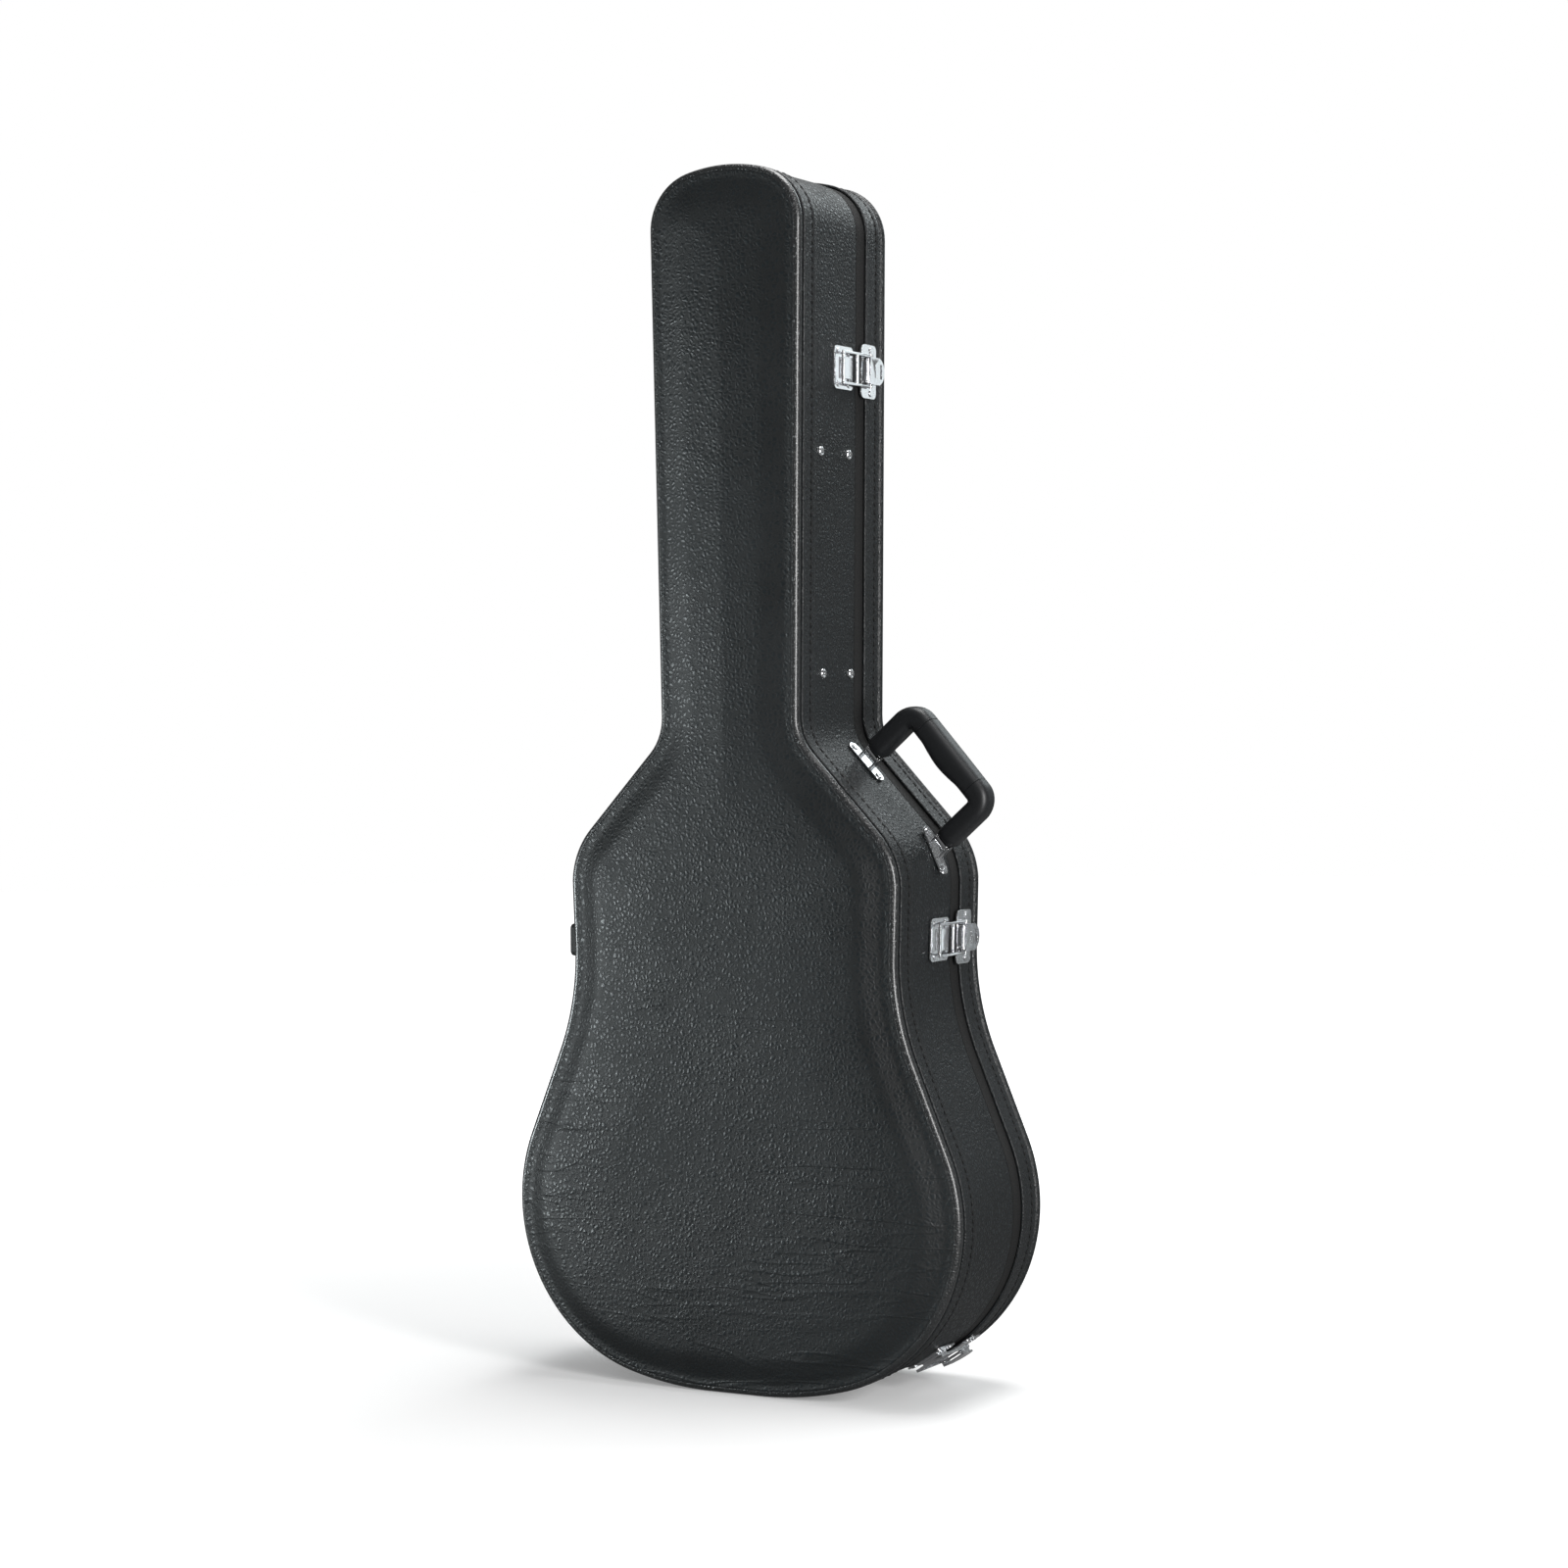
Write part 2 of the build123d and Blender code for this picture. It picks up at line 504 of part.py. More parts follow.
def feet():
    x, z, angle = outline_point(5, 0.06)
    for name, y, inset in (("back", -60.0, COVER_DEPTH - BAND_PROUD), ("front", 10.0, COVER_DEPTH)):
        base = (-(x - inset + 0.6), y, z)
        seat = Location(Plane(origin=base, x_dir=(0, 1, 0), z_dir=(-1, 0, 0)))
        foot = extrude(RectangleRounded(20, 32, 6), FOOT_HEIGHT, taper=8)
        keep(f"side_foot_{name}", seat * foot)


body_half()
compartment()
lid_half()
latches()
hinges()
handle()
feet()

# ---- holes --------------------------------------------------------------------------
drilled = {
    "compartment_rivets": ("body_side_cover", "body_side_wall", "body_tongue",
                           "compartment_end_wall_low", "compartment_end_wall_high"),
    "latch_catch_rivets": ("body_side_cover", "body_side_wall"),
    "hinge_body_rivets": ("body_side_cover", "body_side_wall"),
    "handle_screws": ("body_side_cover", "body_side_wall"),
    "hinge_lid_rivets": ("lid_binding_band", "lid_side_cover", "lid_side_wall"),
    "latch_base_rivets": ("lid_binding_band", "lid_side_cover", "lid_side_wall"),
}
nodes["compartment_end_wall_low"] -= nodes["body_tongue"]
nodes["compartment_end_wall_high"] -= nodes["body_tongue"]
for fasteners, walls in drilled.items():
    for wall in walls:
        nodes[wall] -= nodes[fasteners]

print("case length", round(CASE_LENGTH, 2), "nodes", len(nodes))
for name, shape in nodes.items():
    export_step(shape, f"parts/{name}.step")
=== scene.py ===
# %% [markdown]
# # A hard guitar case that stands on its tail
# The case is a plywood shell covered in grained black vinyl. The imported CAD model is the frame: it
# says where every piece is, what moves, and how far. This script gives each piece its real surface.
# Everything is in metres: +Z runs from the tail to the head, -Y is the arched back, +Y the lid,
# +X the side with the handle and the latches.

# %% Load the frame
import bpy
import bmesh
import json
import numpy as np
from math import sin, cos, pi, radians, degrees, ceil, hypot
from mathutils import Vector, Matrix, noise

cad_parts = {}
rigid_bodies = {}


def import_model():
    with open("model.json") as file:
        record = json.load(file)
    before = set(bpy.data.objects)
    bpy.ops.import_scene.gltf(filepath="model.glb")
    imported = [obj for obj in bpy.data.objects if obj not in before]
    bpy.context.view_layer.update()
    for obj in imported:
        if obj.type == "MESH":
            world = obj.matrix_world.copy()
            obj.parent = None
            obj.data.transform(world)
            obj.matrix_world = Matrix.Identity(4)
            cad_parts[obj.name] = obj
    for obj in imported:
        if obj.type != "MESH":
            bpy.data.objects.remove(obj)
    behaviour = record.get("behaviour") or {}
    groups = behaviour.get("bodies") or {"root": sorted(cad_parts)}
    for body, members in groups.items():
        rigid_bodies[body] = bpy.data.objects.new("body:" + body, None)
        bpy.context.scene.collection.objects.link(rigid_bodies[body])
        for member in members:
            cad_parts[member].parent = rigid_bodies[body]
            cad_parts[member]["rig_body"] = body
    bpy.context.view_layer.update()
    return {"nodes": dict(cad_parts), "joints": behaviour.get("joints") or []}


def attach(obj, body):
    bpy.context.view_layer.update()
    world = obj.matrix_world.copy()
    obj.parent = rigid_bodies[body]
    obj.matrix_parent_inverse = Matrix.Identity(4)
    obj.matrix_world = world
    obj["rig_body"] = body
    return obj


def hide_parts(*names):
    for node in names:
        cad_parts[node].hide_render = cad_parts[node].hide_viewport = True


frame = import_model()
nodes = frame["nodes"]
MM = 0.001
print("CAD pieces:", len(nodes))

# %% [markdown]
# ## The outline
# Every long piece of the case follows one outline: the wall, the edge rolls, the bands and their
# stitches. In the workshop a jig has that outline cut once, and every strip is bent round it. Here the
# outline is a walk of lines and arcs from the middle of the tail up the right side. A cross-section
# is spun round each arc and pushed along each line, which keeps every strip true to the same corner
# centres, whatever its inset.

# %% The walk round the right half
WALK = [("line", 25.0, 0), ("arc", 320.0, 14.9), ("arc", 156.0, 97.5), ("line", 82.3, 0),
        ("arc", 229.6, -24.4), ("line", 52.7, 0), ("arc", 72.0, 45.0), ("line", 94.0, 0),
        ("arc", 45.0, -43.9), ("line", 429.0, 0), ("arc", 50.0, 76.1)]
NECK_SIDE = 9                                  # the place of the neck's straight side in the walk
RIM = 83.0                                     # half the depth over the two edge rolls, in mm


def walk_segments():
    """Each stretch of the outline: kind, start, heading, size, turn, arc centre and start length."""
    x, z, heading, along, out = 0.0, 0.0, 0.0, 0.0, []
    todo = list(WALK)
    while todo:
        kind, size, turn = todo.pop(0)
        size *= MM
        way = (cos(heading), sin(heading))
        if kind == "line":
            out.append((kind, x, z, heading, size, 0.0, None, along))
            x, z, along = x + way[0] * size, z + way[1] * size, along + size
        else:
            side = 1 if turn > 0 else -1
            centre = (x - way[1] * size * side, z + way[0] * size * side)
            out.append((kind, x, z, heading, size, radians(turn), centre, along))
            heading += radians(turn)
            x = centre[0] + sin(heading) * size * side
            z = centre[1] - cos(heading) * size * side
            along += size * abs(radians(turn))
        if not todo and len(out) == len(WALK):
            left = pi - heading
            todo.append(("arc", x / sin(left) / MM, degrees(left)))
    return out


SEGMENTS = walk_segments()
HALF_LENGTH = SEGMENTS[-1][7] + SEGMENTS[-1][4] * SEGMENTS[-1][5]
print("half outline", round(HALF_LENGTH, 4), "m in", len(SEGMENTS), "stretches")


# %% A point of the outline, and how far inside it any point is
def outline_at(along):
    """Position and heading on the right half outline at a length from the tail."""
    for kind, x, z, heading, size, turn, centre, start in reversed(SEGMENTS):
        if along >= start:
            break
    run = along - start
    if kind == "line":
        return x + cos(heading) * run, z + sin(heading) * run, heading
    side = 1 if turn > 0 else -1
    angle = heading + side * run / size
    return centre[0] + sin(angle) * size * side, centre[1] - cos(angle) * size * side, angle


def inset_of(x, z):
    """Distance from the outline of points inside it (arrays of x and z)."""
    x = np.abs(x)
    best = np.full(x.shape, 9.0)
    for kind, sx, sz, heading, size, turn, centre, _ in SEGMENTS:
        if kind == "line":
            run = (x - sx) * cos(heading) + (z - sz) * sin(heading)
            off = (z - sz) * cos(heading) - (x - sx) * sin(heading)
            good = (run >= -1e-6) & (run <= size + 1e-6)
            best = np.where(good & (np.abs(off) < best), np.abs(off), best)
        else:
            side = 1 if turn > 0 else -1
            dx, dz = x - centre[0], z - centre[1]
            angle = np.arctan2(dx * side, -dz * side)
            swept = (angle - heading) * side
            swept = np.where(swept < -pi, swept + 2 * pi, swept)
            off = np.abs(np.hypot(dx, dz) - size)
            good = (swept >= -1e-6) & (swept <= abs(turn) + 1e-6)
            best = np.where(good & (off < best), off, best)
    return best


# %% Sweep a cross-section round the outline
def sweep_outline(profile, step=4 * MM, closed=True):
    """A mesh that follows the whole outline. profile is a list of (inset, depth) points in mm.
    The layers along and across keep the lengths that the UV map takes."""
    bm = bmesh.new()
    along_layer = bm.verts.layers.float.new("along")
    across_layer = bm.verts.layers.float.new("across")
    ring, across, last = [], 0.0, None
    for inset, depth in profile:
        vert = bm.verts.new((0, depth * MM, inset * MM))
        across += hypot(inset - last[0], depth - last[1]) * MM if last else 0.0
        vert[across_layer] = across
        last = (inset, depth)
        ring.append(vert)
    pairs = list(zip(ring, ring[1:])) + ([(ring[-1], ring[0])] if closed else [])
    edges = [bm.edges.new(pair) for pair in pairs]
    for kind, x, z, heading, size, turn, centre, start in SEGMENTS:
        length = size * abs(turn) if kind == "arc" else size
        count = max(1, ceil(length / step))
        for i in range(count):
            if kind == "arc":
                geom = bmesh.ops.spin(bm, geom=edges, cent=(centre[0], 0, centre[1]),
                                      axis=(0, -1, 0), angle=turn / count, steps=1)["geom_last"]
            else:
                geom = bmesh.ops.extrude_edge_only(bm, edges=edges)["geom"]
                push = Vector((cos(heading), 0, sin(heading))) * (size / count)
                new = [g for g in geom if isinstance(g, bmesh.types.BMVert)]
                bmesh.ops.translate(bm, verts=new, vec=push)
            edges = [g for g in geom if isinstance(g, bmesh.types.BMEdge)]
            for vert in {v for e in edges for v in e.verts}:
                vert[along_layer] = start + length * (i + 1) / count
    for edge in edges:
        for vert in edge.verts:
            vert.co.x = 0.0
    bmesh.ops.mirror(bm, geom=bm.verts[:] + bm.edges[:] + bm.faces[:], axis="X", merge_dist=1e-6)
    bmesh.ops.remove_doubles(bm, verts=bm.verts, dist=1e-6)
    bmesh.ops.recalc_face_normals(bm, faces=bm.faces)
    return bm


# %% [markdown]
# ## Finishing a piece
# A piece is one mesh object at the origin. It rides on the CAD body that carries it, it may stand for
# CAD pieces that are then hidden, and it takes one material.
# The swept pieces take their UV map from the lengths kept while sweeping, so grain and stitches keep
# one scale along every curve.

# %% One function that finishes every new piece
def finish_piece(name, bm, material, body, replaces=(), flat_above=None):
    """Makes the object, its UV map and shading, and tells the frame what it is."""
    layers = bm.verts.layers.float
    if "along" in layers and "across" in layers:
        uv = bm.loops.layers.uv.new("lengths")
        for face in bm.faces:
            for loop in face.loops:
                vert = loop.vert
                loop[uv].uv = (vert[layers["along"]], vert[layers["across"]])
    for face in bm.faces:
        face.smooth = True
    mesh = bpy.data.meshes.new(name)
    bm.to_mesh(mesh)
    bm.free()
    if flat_above:
        mesh.set_sharp_from_angle(angle=radians(flat_above))
    piece = bpy.data.objects.new(name, mesh)
    bpy.context.scene.collection.objects.link(piece)
    mesh.materials.append(material)
    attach(piece, body)
    if replaces:
        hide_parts(*replaces)
    print(f"{name}: {len(mesh.vertices)} vertices, {len(mesh.polygons)} faces")
    return piece


# %% [markdown]
# ## Materials
# Each finish starts from what it really is. Colours are written as the hex values a paint chart would
# give, and one function turns them to the linear values that the shader works in. One function adds a
# node with its values and links, so a whole finish reads from top to bottom.

# %% Helpers for materials
def colour(text):
    """The linear colour of an sRGB hex value."""
    parts = [int(text[i:i + 2], 16) / 255 for i in (0, 2, 4)]
    return [p / 12.92 if p <= 0.04045 else ((p + 0.055) / 1.055) ** 2.4 for p in parts] + [1.0]


def add(tree, kind, values=None, links=None):
    """Adds a node. Properties come first, then socket values, then links into its sockets."""
    new = tree.nodes.new("ShaderNode" + kind)
    values = values or {}
    for key, value in values.items():
        if isinstance(key, str) and hasattr(new, key):
            setattr(new, key, value)
    for key, value in values.items():
        if not (isinstance(key, str) and hasattr(new, key)):
            new.inputs[key].default_value = value
    for key, source in (links or {}).items():
        tree.links.new(source, new.inputs[key])
    return new


def new_material(name, base, roughness, metallic=0.0):
    """A material with one main shader; returns it, its tree and the shader node."""
    material = bpy.data.materials.new(name)
    material.use_nodes = True
    tree = material.node_tree
    shader = tree.nodes["Principled BSDF"]
    shader.inputs["Base Color"].default_value = colour(base)
    shader.inputs["Roughness"].default_value = roughness
    shader.inputs["Metallic"].default_value = metallic
    return material, tree, shader


def between(tree, value, low, high, to_low=0.0, to_high=1.0):
    """Maps a value smoothly from low..high to to_low..to_high."""
    return add(tree, "MapRange", {"interpolation_type": "SMOOTHSTEP", "From Min": low, "From Max": high,
                                  "To Min": to_low, "To Max": to_high}, {"Value": value}).outputs[0]


def math(tree, operation, a, b=None):
    """One sum: a and b are outputs or plain numbers."""
    node = add(tree, "Math", {"operation": operation})
    for i, item in enumerate((a, b)):
        if item is None:
            continue
        if isinstance(item, (int, float)):
            node.inputs[i].default_value = item
        else:
            tree.links.new(item, node.inputs[i])
    return node.outputs[0]


def bump(tree, shader, height, depth):
    """Raises the surface by height times depth metres."""
    node = add(tree, "Bump", {"Distance": depth}, {"Height": height})
    tree.links.new(node.outputs["Normal"], shader.inputs["Normal"])


# %% [markdown]
# ### Grained vinyl
# Case covering is a cotton cloth with a PVC skin. The skin is printed with a leather pebble by a
# heated roller, then glued over the plywood. Up close it is a net of fine creases between soft
# pebbles. Real pebbles are near 1.5 mm across; at this size they would vanish, so they are drawn about
# 4 mm across, and 3 mm on the rolls and bands. The creases between them are duller than their tops, so
# the net shows in a highlight. The creases are also painted darker than the tops, which is painted shade
# in the creases. Low on the panels, where the skin was pulled round the arch, there are
# long shallow wrinkles: they are the level lines of a stretched noise, which run on and branch.

# %% The vinyl of the panels, walls, rolls and bands
WRINKLES = ((6, 26.0, 4.2, 0.0), (-14, 20.0, 3.6, 3.1), (24, 17.0, 3.0, 7.7))
WRINKLES_FULL_BELOW, WRINKLES_FADED_ABOVE = 0.22, 0.46     # heights in metres
DULL_CREASES = 0.19                                        # how much rougher a crease is than a top


def grained_vinyl(name, base, raised, roughness, pebble_mm, depth_mm, wrinkle=0.0, coat=0.0):
    """Black PVC with a printed pebble. wrinkle is the strength of the long creases: each kind in
    WRINKLES has its tilt in degrees, its stretch across and along, and a seed."""
    material, tree, shader = new_material(name, base, roughness)
    place = add(tree, "TexCoord").outputs["Object"]
    sway = add(tree, "TexNoise", {"Scale": 150.0, "Detail": 2.0}, {"Vector": place}).outputs["Color"]
    moved = add(tree, "MixRGB", {"blend_type": "LINEAR_LIGHT", "Fac": 0.0016},
                {"Color1": place, "Color2": sway}).outputs[0]
    net = add(tree, "TexVoronoi", {"feature": "DISTANCE_TO_EDGE", "Scale": 1000 / pebble_mm},
              {"Vector": moved}).outputs["Distance"]
    pebbles = between(tree, net, 0.0, 0.42)
    grit = add(tree, "TexNoise", {"Scale": 1600.0, "Detail": 3.0, "Roughness": 0.6},
               {"Vector": place}).outputs["Fac"]
    height = math(tree, "ADD", pebbles, math(tree, "MULTIPLY", grit, 0.12))
    if wrinkle:
        total = None
        for tilt, across, along, seed in WRINKLES:
            turned = add(tree, "Mapping", {"Rotation": (0, radians(tilt), 0), "Scale": (along, 6.0, across),
                                           "Location": (seed, 0, seed)}, {"Vector": place}).outputs[0]
            field = add(tree, "TexNoise", {"Scale": 1.0, "Detail": 2.5, "Roughness": 0.45,
                                           "Distortion": 0.35}, {"Vector": turned}).outputs["Fac"]
            off_line = math(tree, "ABSOLUTE", math(tree, "SUBTRACT", field, 0.5))
            crease = between(tree, off_line, 0.0, 0.020, 1.0, 0.0)
            total = crease if total is None else math(tree, "ADD", total, crease)
        spread = add(tree, "TexNoise", {"Scale": 5.0, "Detail": 2.0}, {"Vector": place}).outputs["Fac"]
        above_floor = add(tree, "SeparateXYZ", {}, {"Vector": place}).outputs["Z"]
        low_down = between(tree, above_floor, WRINKLES_FULL_BELOW, WRINKLES_FADED_ABOVE, 1.0, 0.10)
        where = math(tree, "MULTIPLY", between(tree, spread, 0.34, 0.54), low_down)
        creases = math(tree, "MULTIPLY", math(tree, "MULTIPLY", total, where), wrinkle)
        height = math(tree, "ADD", height, creases)
    bump(tree, shader, height, depth_mm * MM)
    cloud = add(tree, "TexNoise", {"Scale": 9.0, "Detail": 3.0}, {"Vector": place}).outputs["Fac"]
    # Painted shade: the creases take the dark base colour and the pebble tops the lighter one; the cloud
    # adds a random tone.
    tone = math(tree, "ADD", math(tree, "MULTIPLY", pebbles, 0.55), math(tree, "MULTIPLY", cloud, 0.45))
    mix = add(tree, "MixRGB", {"Color1": colour(base), "Color2": colour(raised)}, {"Fac": tone})
    tree.links.new(mix.outputs[0], shader.inputs["Base Color"])
    patchy = between(tree, cloud, 0.3, 0.7, roughness - 0.04, roughness + 0.05)
    rough = math(tree, "ADD", patchy, between(tree, pebbles, 0.1, 0.75, DULL_CREASES, 0.0))
    tree.links.new(rough, shader.inputs["Roughness"])
    if coat:
        shader.inputs["Coat Weight"].default_value = coat
        shader.inputs["Coat Roughness"].default_value = 0.25
    return material


panel_vinyl = grained_vinyl("panel_vinyl_embossed_pvc", "030404", "161c1f", 0.35, 4.2, 0.19, wrinkle=1.2)
wall_vinyl = grained_vinyl("wall_vinyl_embossed_pvc", "040505", "161c1f", 0.36, 4.2, 0.45)
roll_vinyl = grained_vinyl("edge_roll_vinyl_stretched_pvc", "070808", "1c1f21", 0.31, 3.0, 0.34, coat=0.7)
band_vinyl = grained_vinyl("binding_vinyl_embossed_pvc", "060707", "171c1f", 0.36, 3.4, 0.30)
# Painted shade: the lid's wall strip by the seam is darker than the other vinyl for the shade beside the
# band's lip; it is also rougher and less grained.
seam_shade_vinyl = grained_vinyl("seam_vinyl_smooth_pvc_painted_shade", "020202", "050606", 0.75, 3.0, 0.05)

# %% [markdown]
# ### Chromed steel, thread, plush and the rest
# Latches, hinges and brackets are stamped steel with bright chrome: near-white, a metal, very smooth,
# with only a trace of unevenness from the stamping. The lining is a knitted plush over foam: a deep
# dark pile that goes lighter where it is seen edge on, which is what the sheen gives.

# %% Metals
def plated_metal(name, base, roughness, wave_depth):
    """Polished plated steel with a faint ripple from stamping."""
    material, tree, shader = new_material(name, base, roughness, metallic=1.0)
    place = add(tree, "TexCoord").outputs["Object"]
    ripple = add(tree, "TexNoise", {"Scale": 220.0, "Detail": 2.0}, {"Vector": place}).outputs["Fac"]
    fine = add(tree, "TexNoise", {"Scale": 900.0, "Detail": 2.0}, {"Vector": place}).outputs["Fac"]
    tree.links.new(between(tree, fine, 0.3, 0.7, roughness, roughness + 0.09), shader.inputs["Roughness"])
    bump(tree, shader, ripple, wave_depth * MM)
    return material


chrome = plated_metal("latch_steel_chromed", "e9eaec", 0.09, 0.05)
hinge_steel = plated_metal("hinge_steel_nickel_plated", "c9cac9", 0.16, 0.05)


# %% Plush, thread, plywood, plastics, rubber and ribbon
def plush_cloth(name, base, tip):
    """Short-pile knitted plush: tufts near 1.6 mm apart, brushed in slow patches."""
    material, tree, shader = new_material(name, base, 0.95)
    shader.inputs["Sheen Weight"].default_value = 0.55
    shader.inputs["Sheen Roughness"].default_value = 0.4
    shader.inputs["Sheen Tint"].default_value = colour("8a8f96")
    place = add(tree, "TexCoord").outputs["Object"]
    tufts = add(tree, "TexNoise", {"Scale": 620.0, "Detail": 4.0, "Roughness": 0.7},
                {"Vector": place}).outputs["Fac"]
    brushed = add(tree, "TexNoise", {"Scale": 16.0, "Detail": 3.0, "Distortion": 0.8},
                  {"Vector": place}).outputs["Fac"]
    tone = math(tree, "MULTIPLY", between(tree, tufts, 0.3, 0.7),
                between(tree, brushed, 0.3, 0.7, 0.45, 1.0))
    mix = add(tree, "MixRGB", {"Color1": colour(base), "Color2": colour(tip)}, {"Fac": tone})
    tree.links.new(mix.outputs[0], shader.inputs["Base Color"])
    bump(tree, shader, tufts, 0.9 * MM)
    return material


def moulded(name, base, raised, roughness, grain_mm, depth_mm):
    """Moulded plastic or rubber with the fine spark-eroded grain of its mould."""
    material, tree, shader = new_material(name, base, roughness)
    place = add(tree, "TexCoord").outputs["Object"]
    grain = add(tree, "TexNoise", {"Scale": 1000 / grain_mm, "Detail": 3.0, "Roughness": 0.6},
                {"Vector": place}).outputs["Fac"]
    mix = add(tree, "MixRGB", {"Color1": colour(base), "Color2": colour(raised)}, {"Fac": grain})
    tree.links.new(mix.outputs[0], shader.inputs["Base Color"])
    bump(tree, shader, grain, depth_mm * MM)
    return material


def birch_ply(name):
    """Sanded birch plywood: pale, with the darker glue lines of its plies across the depth."""
    material, tree, shader = new_material(name, "b58f5e", 0.6)
    place = add(tree, "TexCoord").outputs["Object"]
    grain = add(tree, "Mapping", {"Scale": (240.0, 14.0, 14.0)}, {"Vector": place}).outputs[0]
    figure = add(tree, "TexNoise", {"Scale": 1.0, "Detail": 5.0, "Distortion": 1.2},
                 {"Vector": grain}).outputs["Fac"]
    mix = add(tree, "MixRGB", {"Color1": colour("8f6b3f"), "Color2": colour("c9a674")}, {"Fac": figure})
    tree.links.new(mix.outputs[0], shader.inputs["Base Color"])
    bump(tree, shader, figure, 0.08 * MM)
    return material


def woven(name, base, raised, roughness, pitch_mm):
    """Woven ribbon or twisted thread: fine crossing ribs."""
    material, tree, shader = new_material(name, base, roughness)
    place = add(tree, "TexCoord").outputs["Object"]
    ribs = []
    for direction in ("X", "Z"):
        ribs.append(add(tree, "TexWave", {"bands_direction": direction, "Scale": 1000 / pitch_mm / 6.28,
                                          "Distortion": 0.3}, {"Vector": place}).outputs["Fac"])
    weave = math(tree, "MULTIPLY", ribs[0], ribs[1])
    mix = add(tree, "MixRGB", {"Color1": colour(base), "Color2": colour(raised)}, {"Fac": weave})
    tree.links.new(mix.outputs[0], shader.inputs["Base Color"])
    bump(tree, shader, weave, 0.2 * MM)
    return material


plush = plush_cloth("lining_knitted_plush", "0e0f12", "2a2c31")
grip_plastic = moulded("grip_abs_moulded", "0a0b0c", "15171a", 0.46, 1.1, 0.07)
lip_plastic = moulded("lip_abs_extruded", "0d0e0f", "17181a", 0.36, 1.6, 0.04)
foot_rubber = moulded("foot_rubber_moulded", "0d0d0d", "1a1a1a", 0.62, 1.4, 0.15)
plywood = birch_ply("wall_birch_plywood_sanded")
ribbon = woven("pull_tab_ribbon_woven", "15161a", "33363d", 0.6, 1.2)
thread = woven("stitch_thread_twisted_nylon", "020202", "070707", 0.85, 0.8)
for slot_name, material in {"vinyl": wall_vinyl, "binding_vinyl": band_vinyl, "edge_vinyl": roll_vinyl,
                            "plywood": plywood, "plush": plush, "ribbon": ribbon,
                            "lip_plastic": lip_plastic, "grip_plastic": grip_plastic,
                            "foot_rubber": foot_rubber, "hinge_steel": hinge_steel,
                            "chrome": chrome}.items():
    for node in nodes.values():
        for slot in node.material_slots:
            if slot.material and slot.material.name.split(".")[0] == slot_name:
                slot.material = material
print("materials:", len(bpy.data.materials))

# %% [markdown]
# ## The arched panels
# The back and the lid of such a case are thin plywood pressed in a mould, so a raised field runs round
# the whole case a few centimetres inside the edge, and the vinyl is glued over it in one sheet. The rim
# of the panel is swept like the other strips. The field inside it is one flat face cut by a grid of
# planes, and then every corner of the grid is pushed out by how far it is from the outline. That keeps
# the crease at one distance from the edge all the way round.

# %% Cut a filled outline into a grid
def fill_with_grid(bm, inset_mm, pitch):
    """Fills the innermost ring of a swept rim and cuts it into squares of pitch metres."""
    loop = [e for e in bm.edges if e.is_boundary and
            all(abs(i - inset_mm * MM) < 2e-5 for i in inset_of(np.array([v.co.x for v in e.verts]),
                                                                np.array([v.co.z for v in e.verts])))]
    face = bmesh.ops.contextual_create(bm, geom=loop)["faces"][0]
    geom = [face] + list(face.edges) + list(face.verts)
    xs, zs = [v.co.x for v in face.verts], [v.co.z for v in face.verts]
    for axis, low, high in ((2, min(zs), max(zs)), (0, min(xs), max(xs))):
        count = round((high - low) / pitch)
        for i in range(1, count):
            co, no = [0, 0, 0], [0, 0, 0]
            co[axis], no[axis] = low + (high - low) * i / count, 1
            geom = bmesh.ops.bisect_plane(bm, geom=geom, dist=1e-5, plane_co=co, plane_no=no)["geom"]


def smooth_step(value, low, high):
    """A soft rise from 0 at low to 1 at high, for an array."""
    t = np.clip((value - low) / (high - low), 0, 1)
    return t * t * (3 - 2 * t)


GRID = 3.2 * MM
FIELD_INSET = 44                               # where the swept rim ends and the grid begins, in mm

# %% The back panel and the lid panel
PANEL_RIM = [(8.2, 75.0), (6.6, 81.0), (5.1, 82.5), (5.4, 83.0), (7, 83.1), (10, 83.0), (13, 82.9),
             (16, 82.9), (20, 82.9), (26, 82.9), (32, 82.9), (38, 82.9), (FIELD_INSET, 82.9)]
SHOULDER_RISE, CROWN_RISE, SKIN_THICKNESS = 7.2, 5.4, 1.6


